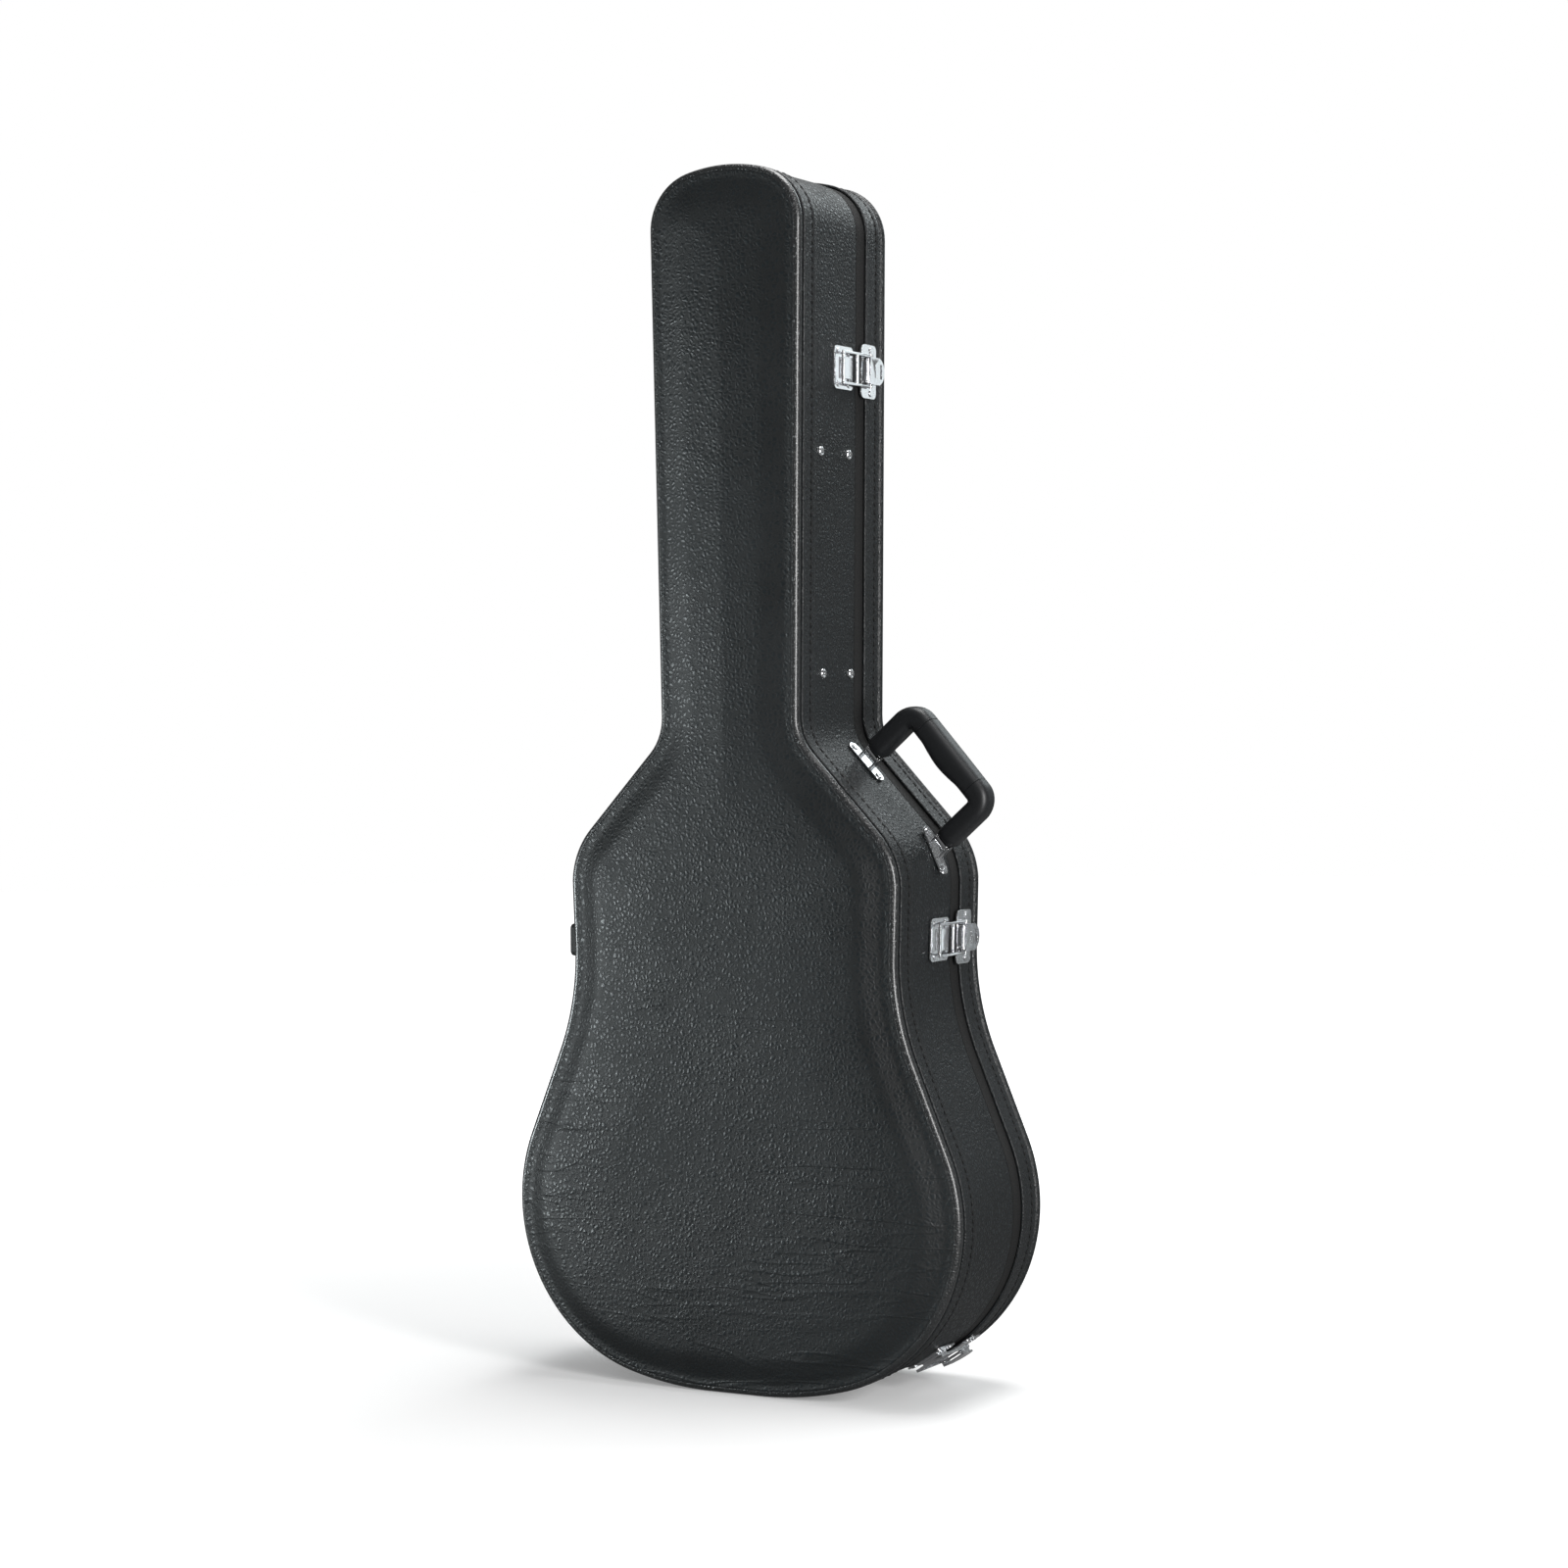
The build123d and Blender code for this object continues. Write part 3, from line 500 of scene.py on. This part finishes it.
def arched_panel(name, way, body, replaced):
    """The vinyl skin of one arched panel: a rim, a shoulder that ends in a crease, and a crowned
    field. The shoulder is lower along the slim neck."""
    bm = sweep_outline([(inset, way * depth) for inset, depth in PANEL_RIM], step=3.5 * MM, closed=False)
    fill_with_grid(bm, FIELD_INSET, GRID)
    xs = np.array([v.co.x for v in bm.verts])
    zs = np.array([v.co.z for v in bm.verts])
    inset = inset_of(xs, zs) / MM
    slim = 1 - 0.55 * smooth_step(zs / MM, 470, 640)
    rise = slim * SHOULDER_RISE * np.interp(inset, [9, 14, 32, 37], [0, 0.09, 0.95, 1])
    rise += CROWN_RISE * (1 - (1 - np.clip((inset - 12) / 94, 0, 1)) ** 2)
    for vert, up, x, z in zip(bm.verts, rise, xs, zs):
        if abs(vert.co.y) > 82 * MM:
            wave = noise.noise((x * 9, way, z * 9)) * 0.5 + noise.noise((x * 30, way, z * 55)) * 0.18
            vert.co.y += way * MM * (up + wave * min(1, up / 6))
    middle = min(bm.faces, key=lambda f: (f.calc_center_median() - Vector((0, way * 0.094, 0.2))).length)
    if middle.normal.y * way < 0:
        bmesh.ops.reverse_faces(bm, faces=bm.faces)
    bmesh.ops.solidify(bm, geom=bm.faces[:], thickness=SKIN_THICKNESS * MM)
    bmesh.ops.remove_doubles(bm, verts=bm.verts, dist=1e-6)
    return finish_piece(name, bm, panel_vinyl, body, replaced, flat_above=70)


arched_panel("back_panel_skin", -1, "body", ("back_panel",))
arched_panel("lid_panel_skin", 1, "lid", ("lid_panel",))

# %% [markdown]
# ## Edge rolls, wall covers and stitched bands
# Where the wall meets a panel the vinyl is turned round a cord, which gives the bright rounded edge.
# Next to it a band is sewn on: it has a raised lip on the groove side and one row of dark stitches in
# a shallow channel. The body's wall between the bands is covered with the same vinyl in one strip. The
# lid's wall strip by the seam is painted darker, which is painted shade beside the lid band's lip.

# %% Edge rolls
ROLL_RADIUS, ROLL_SIDES = 5, 24


def roll_profile(depth):
    """The round section of an edge roll whose centre lies at a depth, touching the outline."""
    return [(ROLL_RADIUS + ROLL_RADIUS * cos(2 * pi * i / ROLL_SIDES),
             depth + ROLL_RADIUS * sin(2 * pi * i / ROLL_SIDES)) for i in range(ROLL_SIDES)]


for side, depth, body, material in (("back", ROLL_RADIUS - RIM, "body", roll_vinyl),
                                    ("lid", RIM - ROLL_RADIUS, "lid", band_vinyl)):
    finish_piece(f"{side}_edge_roll_cord", sweep_outline(roll_profile(depth), step=5 * MM), material,
                 body, (f"{side}_edge_roll",))

# %% Wall covers
BODY_COVER = [(3.2, -73.0), (2.0, -73.0), (2.0, -48), (2.0, -20), (2.0, 6), (2.05, 14), (2.25, 20),
              (2.5, 25), (2.8, 28.0), (3.0, 28.7), (8.0, 28.7), (8.0, 28.3), (3.3, 28.2)]
LID_COVER = [(3.3, 29.8), (8.0, 29.7), (8.0, 29.3), (3.0, 29.3), (2.9, 29.7), (2.9, 32), (3.0, 42),
             (3.0, 46), (2.3, 50), (2.0, 60), (2.0, 73.0), (3.2, 73.0)]
# The lid's wall skin takes the darker vinyl, which is painted shade by the seam.
for body, profile, material in (("body", BODY_COVER, wall_vinyl), ("lid", LID_COVER, seam_shade_vinyl)):
    finish_piece(f"{body}_wall_skin", sweep_outline(profile, step=4 * MM), material, body,
                 (f"{body}_side_cover",), flat_above=50)

# %% Bands with a raised lip and a stitch channel
def band_profile(lip, width, row):
    """Inset and depth round a band: its lip is at depth lip, its stitch row is row mm further on."""
    shape = [(0, 2.0), (0, 0.9), (0.35, 0.25), (1.1, 0.0), (2.0, 0.2), (2.7, 0.75), (3.6, 0.9),
             (row / 2 + 1, 0.6), (row - 1.9, 0.7), (row - 1.0, 1.15), (row, 1.3), (row + 1.0, 1.15),
             (row + 1.9, 0.7), (width - 1.2, 0.85), (width - 0.4, 1.2), (width, 2.0)]
    return [(inset, lip + run) for run, inset in shape]


BANDS = {"back": (-72.0, 24.0, 16.0, "body"), "lid": (44.0, 28.0, 19.5, "lid")}
for side, (lip, width, row, body) in BANDS.items():
    finish_piece(f"{side}_band_skin", sweep_outline(band_profile(lip, width, row)), band_vinyl, body,
                 (f"{side}_binding_band",), flat_above=60)


# %% One stitch, laid again and again along the band
def stitch_row(name, depth_mm, body):
    """Dark nylon stitches 5 mm long, one every 7.4 mm, sunk in the channel."""
    bm = bmesh.new()
    pitch, length, radius, sunk = 7.4 * MM, 5.0 * MM, 0.75 * MM, 0.8 * MM
    count = int(HALF_LENGTH / pitch)
    for i in range(count):
        x, z, heading = outline_at((i + 0.5) * HALF_LENGTH / count)
        x, z = x - sin(heading) * sunk, z + cos(heading) * sunk
        for side in (1, -1):
            made = bmesh.ops.create_icosphere(bm, subdivisions=1, radius=1.0)["verts"]
            turn = Matrix.Rotation(-heading if side > 0 else heading - pi, 4, "Y")
            spot = Matrix.Translation((side * x, depth_mm * MM, z))
            size = Matrix.Diagonal((length / 2, radius * 1.25, radius, 1))
            bmesh.ops.transform(bm, verts=made, matrix=spot @ turn @ size)
    return finish_piece(name, bm, thread, body)


for side, (lip, width, row, body) in BANDS.items():
    stitch_row(f"{side}_band_stitches", lip + row, body)

# %% [markdown]
# ## Stamped metal
# The CAD pieces of the latches, hinges and brackets have the right shape, but a stamped part has no
# razor edges: its corners are rounded by the die and the plating. A narrow round along each edge
# catches the light as a thin bright line. The CAD mesh is loose triangles, so a copy is merged, flat
# triangles are joined into whole faces, and a bevel modifier rounds what is left.

# %% Soften the edges of metal pieces
def softened(node_name, material, width_mm, segments=2, angle=35):
    """A copy of a CAD piece with every edge sharper than angle rounded by width_mm."""
    source = nodes[node_name]
    bm = bmesh.new()
    bm.from_mesh(source.data)
    bmesh.ops.remove_doubles(bm, verts=bm.verts, dist=2e-6)
    bmesh.ops.dissolve_limit(bm, angle_limit=radians(1.0), verts=bm.verts, edges=bm.edges)
    body = source["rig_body"]
    piece = finish_piece(node_name + "_soft", bm, material, body, (node_name,), flat_above=angle)
    round_edges = piece.modifiers.new("round_edges", "BEVEL")
    round_edges.width = width_mm * MM
    round_edges.segments = segments
    round_edges.limit_method = "ANGLE"
    round_edges.angle_limit = radians(angle)
    round_edges.harden_normals = True
    return piece


for latch in ("neck", "waist", "tail"):
    for part, width in (("catch", 0.35), ("base", 0.35), ("lever", 0.4), ("bail", 0.45)):
        softened(f"{latch}_latch_{part}", chrome, width)
for fastener in ("latch_catch_rivets", "latch_base_rivets", "handle_screws", "handle_eyelets"):
    softened(fastener, chrome, 0.3)
for fastener in ("hinge_body_rivets", "hinge_lid_rivets"):
    softened(fastener, hinge_steel, 0.3)
for place in ("back", "front"):
    softened(f"side_foot_{place}", foot_rubber, 1.6, segments=3)
for place in ("upper", "lower"):
    softened(f"handle_bracket_{place}", chrome, 0.4)
    for part in ("body_leaf", "lid_leaf"):
        softened(f"{place}_hinge_{part}", hinge_steel, 0.3)

# %% [markdown]
# ## Tubular rivets of the inner compartment
# The two walls of the compartment inside the neck are held by hollow rivets, whose flared heads show
# on the outside as small bright rings with a dark middle. Each head is half a section spun round its
# own axis, then stood on the wall at the height of its row.

# %% Rivet heads
RIVET_HEAD = [(0.0, 0.35), (1.1, 0.4), (1.6, 0.75), (2.1, 1.3), (2.9, 1.6), (3.8, 1.35), (4.4, 0.6),
              (4.5, 0.0)]
RIVET_ROWS = {634.0: (-31.0, 21.0), 829.0: (-37.0, 15.0)}
COVER_INSET = 2.0 * MM


def rivet_heads():
    """Eight heads on the neck's two sides, at the heights and depths in RIVET_ROWS."""
    bm = bmesh.new()
    _, _, z0, heading, _, _, _, start = SEGMENTS[NECK_SIDE]
    for z, depths in RIVET_ROWS.items():
        x, _, _ = outline_at(start + (z * MM - z0) / sin(heading))
        for depth in depths:
            for side in (1, -1):
                ring = [bm.verts.new((r * MM, 0, h * MM)) for r, h in RIVET_HEAD]
                edges = [bm.edges.new(pair) for pair in zip(ring, ring[1:])]
                before = set(bm.verts) - set(ring)
                bmesh.ops.spin(bm, geom=ring + edges, cent=(0, 0, 0), axis=(0, 0, 1), angle=2 * pi,
                               steps=28, use_merge=True)
                made = [v for v in bm.verts if v not in before]
                stand = Matrix.Translation((side * (x - COVER_INSET), depth * MM, z * MM))
                bmesh.ops.transform(bm, verts=made, matrix=stand @ Matrix.Rotation(side * pi / 2, 4, "Y"))
    bmesh.ops.remove_doubles(bm, verts=bm.verts, dist=1e-6)
    bmesh.ops.recalc_face_normals(bm, faces=bm.faces)
    return finish_piece("compartment_rivet_heads", bm, chrome, "body", ("compartment_rivets",))


rivet_heads()

# %% [markdown]
# ## The handle
# The grip is one moulding: two legs and a bar with a swelling for the palm, with a fine mould grain and
# a seam line where each leg's insert ends. A rounded section is pushed up one leg, spun round each
# corner, pushed along the bar and down the other leg. Then the bar's underside is pushed out for the
# swelling. The handle's joint gives its place: local X lies along the pivot and local Z points out.

# %% The grip's section and the frame it stands in
swing = next(joint for joint in frame["joints"] if joint["name"] == "handle_swing")
HANDLE_AXIS = Vector(swing["axis"]).normalized()
HANDLE_OUT = Vector((-HANDLE_AXIS.z, 0, HANDLE_AXIS.x))
PIVOT_ABOVE_CHORD = 9.0 * MM
handle_frame = Matrix((HANDLE_AXIS, (0, 1, 0), HANDLE_OUT)).transposed().to_4x4()
handle_frame.translation = Vector(swing["pos_m"]) - HANDLE_OUT * PIVOT_ABOVE_CHORD
LEG_AT, LEG_FROM, CORNER_FROM, CORNER_R, BAR_HALF = 52.0, 15.0, 53.5, 11.5, 40.5
HALF_WIDTH, HALF_THICK, SQUARENESS = 10.0, 11.8, 3.4


def grip_section(bm):
    """A squarish round section at the foot of the first leg."""
    ring = []
    for i in range(32):
        angle = 2 * pi * i / 32
        reach = (abs(cos(angle)) ** SQUARENESS + abs(sin(angle)) ** SQUARENESS) ** (-1 / SQUARENESS)
        ring.append(bm.verts.new(((-LEG_AT + HALF_WIDTH * reach * cos(angle)) * MM,
                                  HALF_THICK * reach * sin(angle) * MM, LEG_FROM * MM)))
    edges = [bm.edges.new(pair) for pair in zip(ring, ring[1:] + ring[:1])]
    bmesh.ops.contextual_create(bm, geom=edges)
    return edges


# %% Sweep the grip
CORNER_STEPS, LEG_STEPS, BAR_STEPS = 10, 9, 26
SEAM_AT, GROOVE_STEPS = 35.0, [0.4, 0.4, 0.4, 0.4]
FOOT_STEPS = [0.8, 1.2]


def swept_grip():
    """The plain handle: leg, corner, bar, corner, leg, with close rings at the seams and feet."""
    bm = bmesh.new()
    edges = grip_section(bm)

    def push(way, lengths):
        nonlocal edges
        for length in lengths:
            geom = bmesh.ops.extrude_edge_only(bm, edges=edges)["geom"]
            verts = [g for g in geom if isinstance(g, bmesh.types.BMVert)]
            bmesh.ops.translate(bm, verts=verts, vec=Vector(way) * length * MM)
            edges = [g for g in geom if isinstance(g, bmesh.types.BMEdge)]

    def corner(centre):
        nonlocal edges
        for _ in range(CORNER_STEPS):
            geom = bmesh.ops.spin(bm, geom=edges, cent=Vector(centre) * MM, axis=(0, 1, 0),
                                  angle=pi / 2 / CORNER_STEPS, steps=1)["geom_last"]
            edges = [g for g in geom if isinstance(g, bmesh.types.BMEdge)]

    leg = (CORNER_FROM - LEG_FROM - sum(FOOT_STEPS)) / LEG_STEPS
    half_groove = sum(GROOVE_STEPS) / 2
    bar = 2 * (SEAM_AT - half_groove) / BAR_STEPS
    gap = BAR_HALF - SEAM_AT - half_groove
    push((0, 0, 1), FOOT_STEPS + [leg] * LEG_STEPS)
    corner((-BAR_HALF, 0, CORNER_FROM))
    push((1, 0, 0), [gap] + GROOVE_STEPS + [bar] * BAR_STEPS + GROOVE_STEPS + [gap])
    corner((BAR_HALF, 0, CORNER_FROM))
    push((0, 0, -1), [leg] * LEG_STEPS + FOOT_STEPS[::-1])
    bmesh.ops.contextual_create(bm, geom=edges)
    return bm


# %% Shape the grip
TOP = CORNER_FROM + CORNER_R
PALM_SWELL, PALM_HALF_LENGTH, GROOVE_SHRINK = 3.6, 26.0, 0.955


def handle_grip():
    """Draws in the feet, rounds the bar's top, swells its underside and cuts the seam grooves."""
    bm = swept_grip()
    for vert in bm.verts:
        t, h = vert.co.x / MM, vert.co.z / MM
        if h < LEG_FROM + 0.9:
            vert.co.x += (LEG_AT * (1 if t > 0 else -1) - t) * 0.10 * MM
            vert.co.y *= 0.92
        if h > CORNER_FROM:
            h += (h - TOP) * 0.10 * min(1, (h - CORNER_FROM) / 8)
        if abs(t) < BAR_HALF and h < TOP:
            palm = max(0.0, 1 - (t / PALM_HALF_LENGTH) ** 2) ** 1.5
            h -= PALM_SWELL * palm * min(1, (TOP - h) / 11)
        swell = 1 + 0.05 * max(0.0, 1 - (t / 38) ** 2) if h > CORNER_FROM else 1
        if abs(abs(t) - SEAM_AT) < 0.25 and h > 50:
            swell *= GROOVE_SHRINK
            h += (TOP - h) * 0.05
        vert.co.y *= swell
        vert.co.z = h * MM
    bmesh.ops.transform(bm, verts=bm.verts, matrix=handle_frame)
    bmesh.ops.recalc_face_normals(bm, faces=bm.faces)
    return finish_piece("handle_grip_moulding", bm, grip_plastic, "handle",
                        ("handle_grip",), flat_above=50)


handle_grip()

# %% [markdown]
# ## The lining
# Inside, foam strips covered in plush are glued to the walls and the floor. A foam strip has soft
# corners and a skin that is never quite flat, so the strips are swept with rounded sections and
# pushed in by a slow noise. The floor and the lid lining are filled like the panels. Around the
# compartment the foam stops, so a slice is cut out there, the ends are closed, and bare plush covers
# the two side walls.

# %% Cut a slice out of a padded piece
def without_slice(bm, low, high):
    """Removes what lies between two heights and closes the cuts."""
    upper = bm.copy()
    for part, height, keep_below in ((bm, low, True), (upper, high, False)):
        cut = bmesh.ops.bisect_plane(part, geom=part.verts[:] + part.edges[:] + part.faces[:],
                                     plane_co=(0, 0, height * MM), plane_no=(0, 0, 1), dist=1e-6,
                                     clear_outer=keep_below, clear_inner=not keep_below)["geom_cut"]
        bmesh.ops.edgeloop_fill(part, edges=[g for g in cut if isinstance(g, bmesh.types.BMEdge)])
    spare = bpy.data.meshes.new("spare")
    upper.to_mesh(spare)
    upper.free()
    bm.from_mesh(spare)
    bpy.data.meshes.remove(spare)
    return bm


# %% Padded strips
COMPARTMENT_SLICE = (630.6, 832.4)             # the heights between which the foam stops, in mm
SKIN_DENT = 0.6


def padded_piece(name, bm, body, replaced):
    """Finishes a foam piece: every corner goes in a little along its normal by a slow noise."""
    bm.normal_update()
    for vert in bm.verts:
        dent = 0.5 + 0.5 * noise.noise(vert.co * 22)
        vert.co -= vert.normal * dent * SKIN_DENT * MM
    bmesh.ops.recalc_face_normals(bm, faces=bm.faces)
    piece = finish_piece(name, bm, plush, body, (replaced,), flat_above=70)
    return piece


def strip_profile(outer, inner, low, high):
    """A foam strip's section with soft inner corners."""
    soft = 3.5
    return [(outer, low), (inner - soft, low), (inner - soft * 0.3, low + soft * 0.3), (inner, low + soft),
            (inner, (low + high) / 2), (inner, high - soft), (inner - soft * 0.3, high - soft * 0.3),
            (inner - soft, high), (outer, high)]


PAD_STEP, STRIP_FILL, SHEET_FILL = 6 * MM, 0.8, 0.9
wall_strip = sweep_outline(strip_profile(8.3, 19.1, -64.8, 13.4), step=PAD_STEP)
padded_piece("body_wall_foam", without_slice(wall_strip, *COMPARTMENT_SLICE), "body", "body_wall_pad")
lid_strip = sweep_outline(strip_profile(8.3, 17.1, 38.1, 68.8), step=PAD_STEP)
padded_piece("lid_wall_foam", lid_strip, "lid", "lid_wall_pad")

# %% Plush glued straight to the compartment's side walls
bare = sweep_outline([(8.25, -64.8), (8.8, -64.8), (8.8, -20), (8.8, 13.2), (8.25, 13.2)], step=PAD_STEP)
for height, keep_above in zip(COMPARTMENT_SLICE, (True, False)):
    bmesh.ops.bisect_plane(bare, geom=bare.verts[:] + bare.edges[:] + bare.faces[:],
                           plane_co=(0, 0, height * MM), plane_no=(0, 0, 1), dist=1e-6,
                           clear_inner=keep_above, clear_outer=not keep_above)
    bmesh.ops.holes_fill(bare, edges=[e for e in bare.edges if e.is_boundary], sides=0)
finish_piece("compartment_wall_plush", bare, plush, "body", flat_above=50)


# %% The floor pad and the lid lining
def padded_sheet(name, far, near, body, replaced, slice_out=None):
    """A sheet of foam that fills the outline between two depths, with a rounded near edge."""
    way = 1 if near > far else -1
    rim = [(8.4, far), (8.4, near - way * 1.2), (9.2, near - way * 0.4), (10.5, near - way * 0.1),
           (20, near), (32, near), (FIELD_INSET, near)]
    bm = sweep_outline(rim, step=PAD_STEP, closed=False)
    fill_with_grid(bm, FIELD_INSET, 9 * MM)
    bmesh.ops.contextual_create(bm, geom=[e for e in bm.edges if e.is_boundary])
    if slice_out:
        without_slice(bm, *slice_out)
    return padded_piece(name, bm, body, replaced)


padded_sheet("body_floor_foam", -72.9, -65.1, "body", "body_floor_pad", COMPARTMENT_SLICE)
padded_sheet("lid_lining_foam", 72.9, 69.1, "lid", "lid_lining_pad")

# %% Plush-covered boards of the compartment
for board in ("compartment_end_wall_low", "compartment_end_wall_high", "compartment_ledges",
              "compartment_flap"):
    softened(board, plush, 1.0, segments=3, angle=40)
softened("flap_pull_tab", ribbon, 0.3)

# %% [markdown]
# ## Floor, light and camera
# The floor and the backdrop are plain white. The floor glows a little near the case and fully far
# away, so it meets the white backdrop without a line while the case's shadow still shows. Mirrored in
# the vinyl and the chrome both are darker, which keeps the black deep. A low softbox on the left lights
# the panel, a tall one on the right draws the bright line along the edge roll, and one high at the
# back lights the sloping shoulder. The camera stands a little to the right of the back panel.

# %% Floor
FLOOR_RADIUS, FLOOR_BELOW = 9.0, 0.0005
FLOOR_GLOW, FLOOR_GLOSS = 0.20, 0.04
GLOW_FROM, GLOW_FULL_AT = 0.5, 2.0             # distances from the case in metres


def stage_floor():
    """A white disc that only the camera sees glowing."""
    bm = bmesh.new()
    bmesh.ops.create_circle(bm, cap_ends=True, segments=96, radius=FLOOR_RADIUS)
    bmesh.ops.translate(bm, verts=bm.verts, vec=(0, 0, -FLOOR_BELOW))
    mesh = bpy.data.meshes.new("floor")
    bm.to_mesh(mesh)
    bm.free()
    floor = bpy.data.objects.new("floor", mesh)
    bpy.context.scene.collection.objects.link(floor)
    material, tree, shader = new_material("floor_paper_matt_white", "e6e6e6", 0.9)
    shader.inputs["Specular IOR Level"].default_value = 0.0
    rays = add(tree, "LightPath")
    seen = math(tree, "MAXIMUM", rays.outputs["Is Camera Ray"], rays.outputs["Is Transmission Ray"])
    place = add(tree, "TexCoord").outputs["Object"]
    reach = add(tree, "VectorMath", {"operation": "LENGTH"}, {"Vector": place}).outputs["Value"]
    far_glow = between(tree, reach, GLOW_FROM, GLOW_FULL_AT, FLOOR_GLOW, 1.0)
    glow = math(tree, "ADD", math(tree, "MULTIPLY", seen, far_glow),
                math(tree, "MULTIPLY", rays.outputs["Is Glossy Ray"], FLOOR_GLOSS))
    tree.links.new(glow, shader.inputs["Emission Strength"])
    shader.inputs["Emission Color"].default_value = colour("ffffff")
    tone = add(tree, "MixRGB", {"Color1": colour("e6e6e6"), "Color2": colour("6e6e6e")},
               {"Fac": rays.outputs["Is Glossy Ray"]})
    tree.links.new(tone.outputs[0], shader.inputs["Base Color"])
    mesh.materials.append(material)


stage_floor()

# %% World
WORLD_FILL, WORLD_GLOSS = 0.30, 0.14
world = bpy.data.worlds.new("studio")
bpy.context.scene.world = world
world.use_nodes = True
tree = world.node_tree
background = tree.nodes["Background"]
rays = add(tree, "LightPath")
seen = math(tree, "MAXIMUM", rays.outputs["Is Camera Ray"], rays.outputs["Is Transmission Ray"])
glossy = math(tree, "MULTIPLY", rays.outputs["Is Glossy Ray"], WORLD_GLOSS - WORLD_FILL)
strength = math(tree, "ADD", math(tree, "MULTIPLY", seen, 1.0 - WORLD_FILL),
                math(tree, "ADD", glossy, WORLD_FILL))
background.inputs["Color"].default_value = (1, 1, 1, 1)
tree.links.new(strength, background.inputs["Strength"])


# %% Lamps
def softbox(name, position, target, width, height, watts, tint):
    """A rectangular lamp at a position, turned to a target; sizes in metres."""
    lamp = bpy.data.lights.new(name, "AREA")
    lamp.shape = "RECTANGLE"
    lamp.size, lamp.size_y, lamp.energy, lamp.color = width, height, watts, tint
    holder = bpy.data.objects.new(name, lamp)
    holder.location = position
    holder.rotation_euler = (Vector(target) - Vector(position)).to_track_quat("-Z", "Y").to_euler()
    bpy.context.scene.collection.objects.link(holder)
    return holder


COOL, PLAIN = (0.90, 0.98, 1.0), (1.0, 1.0, 1.0)
softbox("front_left", (-2.75, -2.15, 0.16), (0, 0, 0.34), 0.8, 0.55, 76, COOL)
softbox("overhead", (0.3, 0.3, 2.6), (0, 0, 0.5), 1.4, 1.0, 46, PLAIN)
softbox("right_edge", (2.6, -1.45, 0.8), (0, 0, 0.5), 0.6, 1.8, 105, PLAIN)
softbox("right_back_high", (1.5, 2.4, 1.2), (0, 0, 0.8), 0.55, 0.9, 1.5, COOL)
softbox("right_back_low", (1.55, 2.4, 0.3), (0, 0, 0.4), 0.26, 0.8, 0.8, COOL)
softbox("back_top", (0.35, 2.8, 2.25), (0.12, 0, 0.62), 1.8, 1.0, 19, COOL)

# %% Camera
TARGET = Vector((22.94, -23.0, 536.5)) * MM
AZIMUTH, ELEVATION, DISTANCE, ROLL = radians(29.06), radians(1.25), 3.0, radians(-0.531)
camera_data = bpy.data.cameras.new("camera")
camera_data.sensor_width = 36.0
camera_data.lens = 77.4225
camera = bpy.data.objects.new("camera", camera_data)
bpy.context.scene.collection.objects.link(camera)
back = Vector((sin(AZIMUTH) * cos(ELEVATION), -cos(AZIMUTH) * cos(ELEVATION), sin(ELEVATION)))
level = Vector((cos(AZIMUTH), sin(AZIMUTH), 0))
up = back.cross(level)
right = level * cos(ROLL) + up * sin(ROLL)
turn = Matrix((right, back.cross(right), back)).transposed()
camera.matrix_world = Matrix.Translation(TARGET + back * DISTANCE) @ turn.to_4x4()
bpy.context.scene.camera = camera
bpy.context.scene.view_settings.view_transform = "Standard"
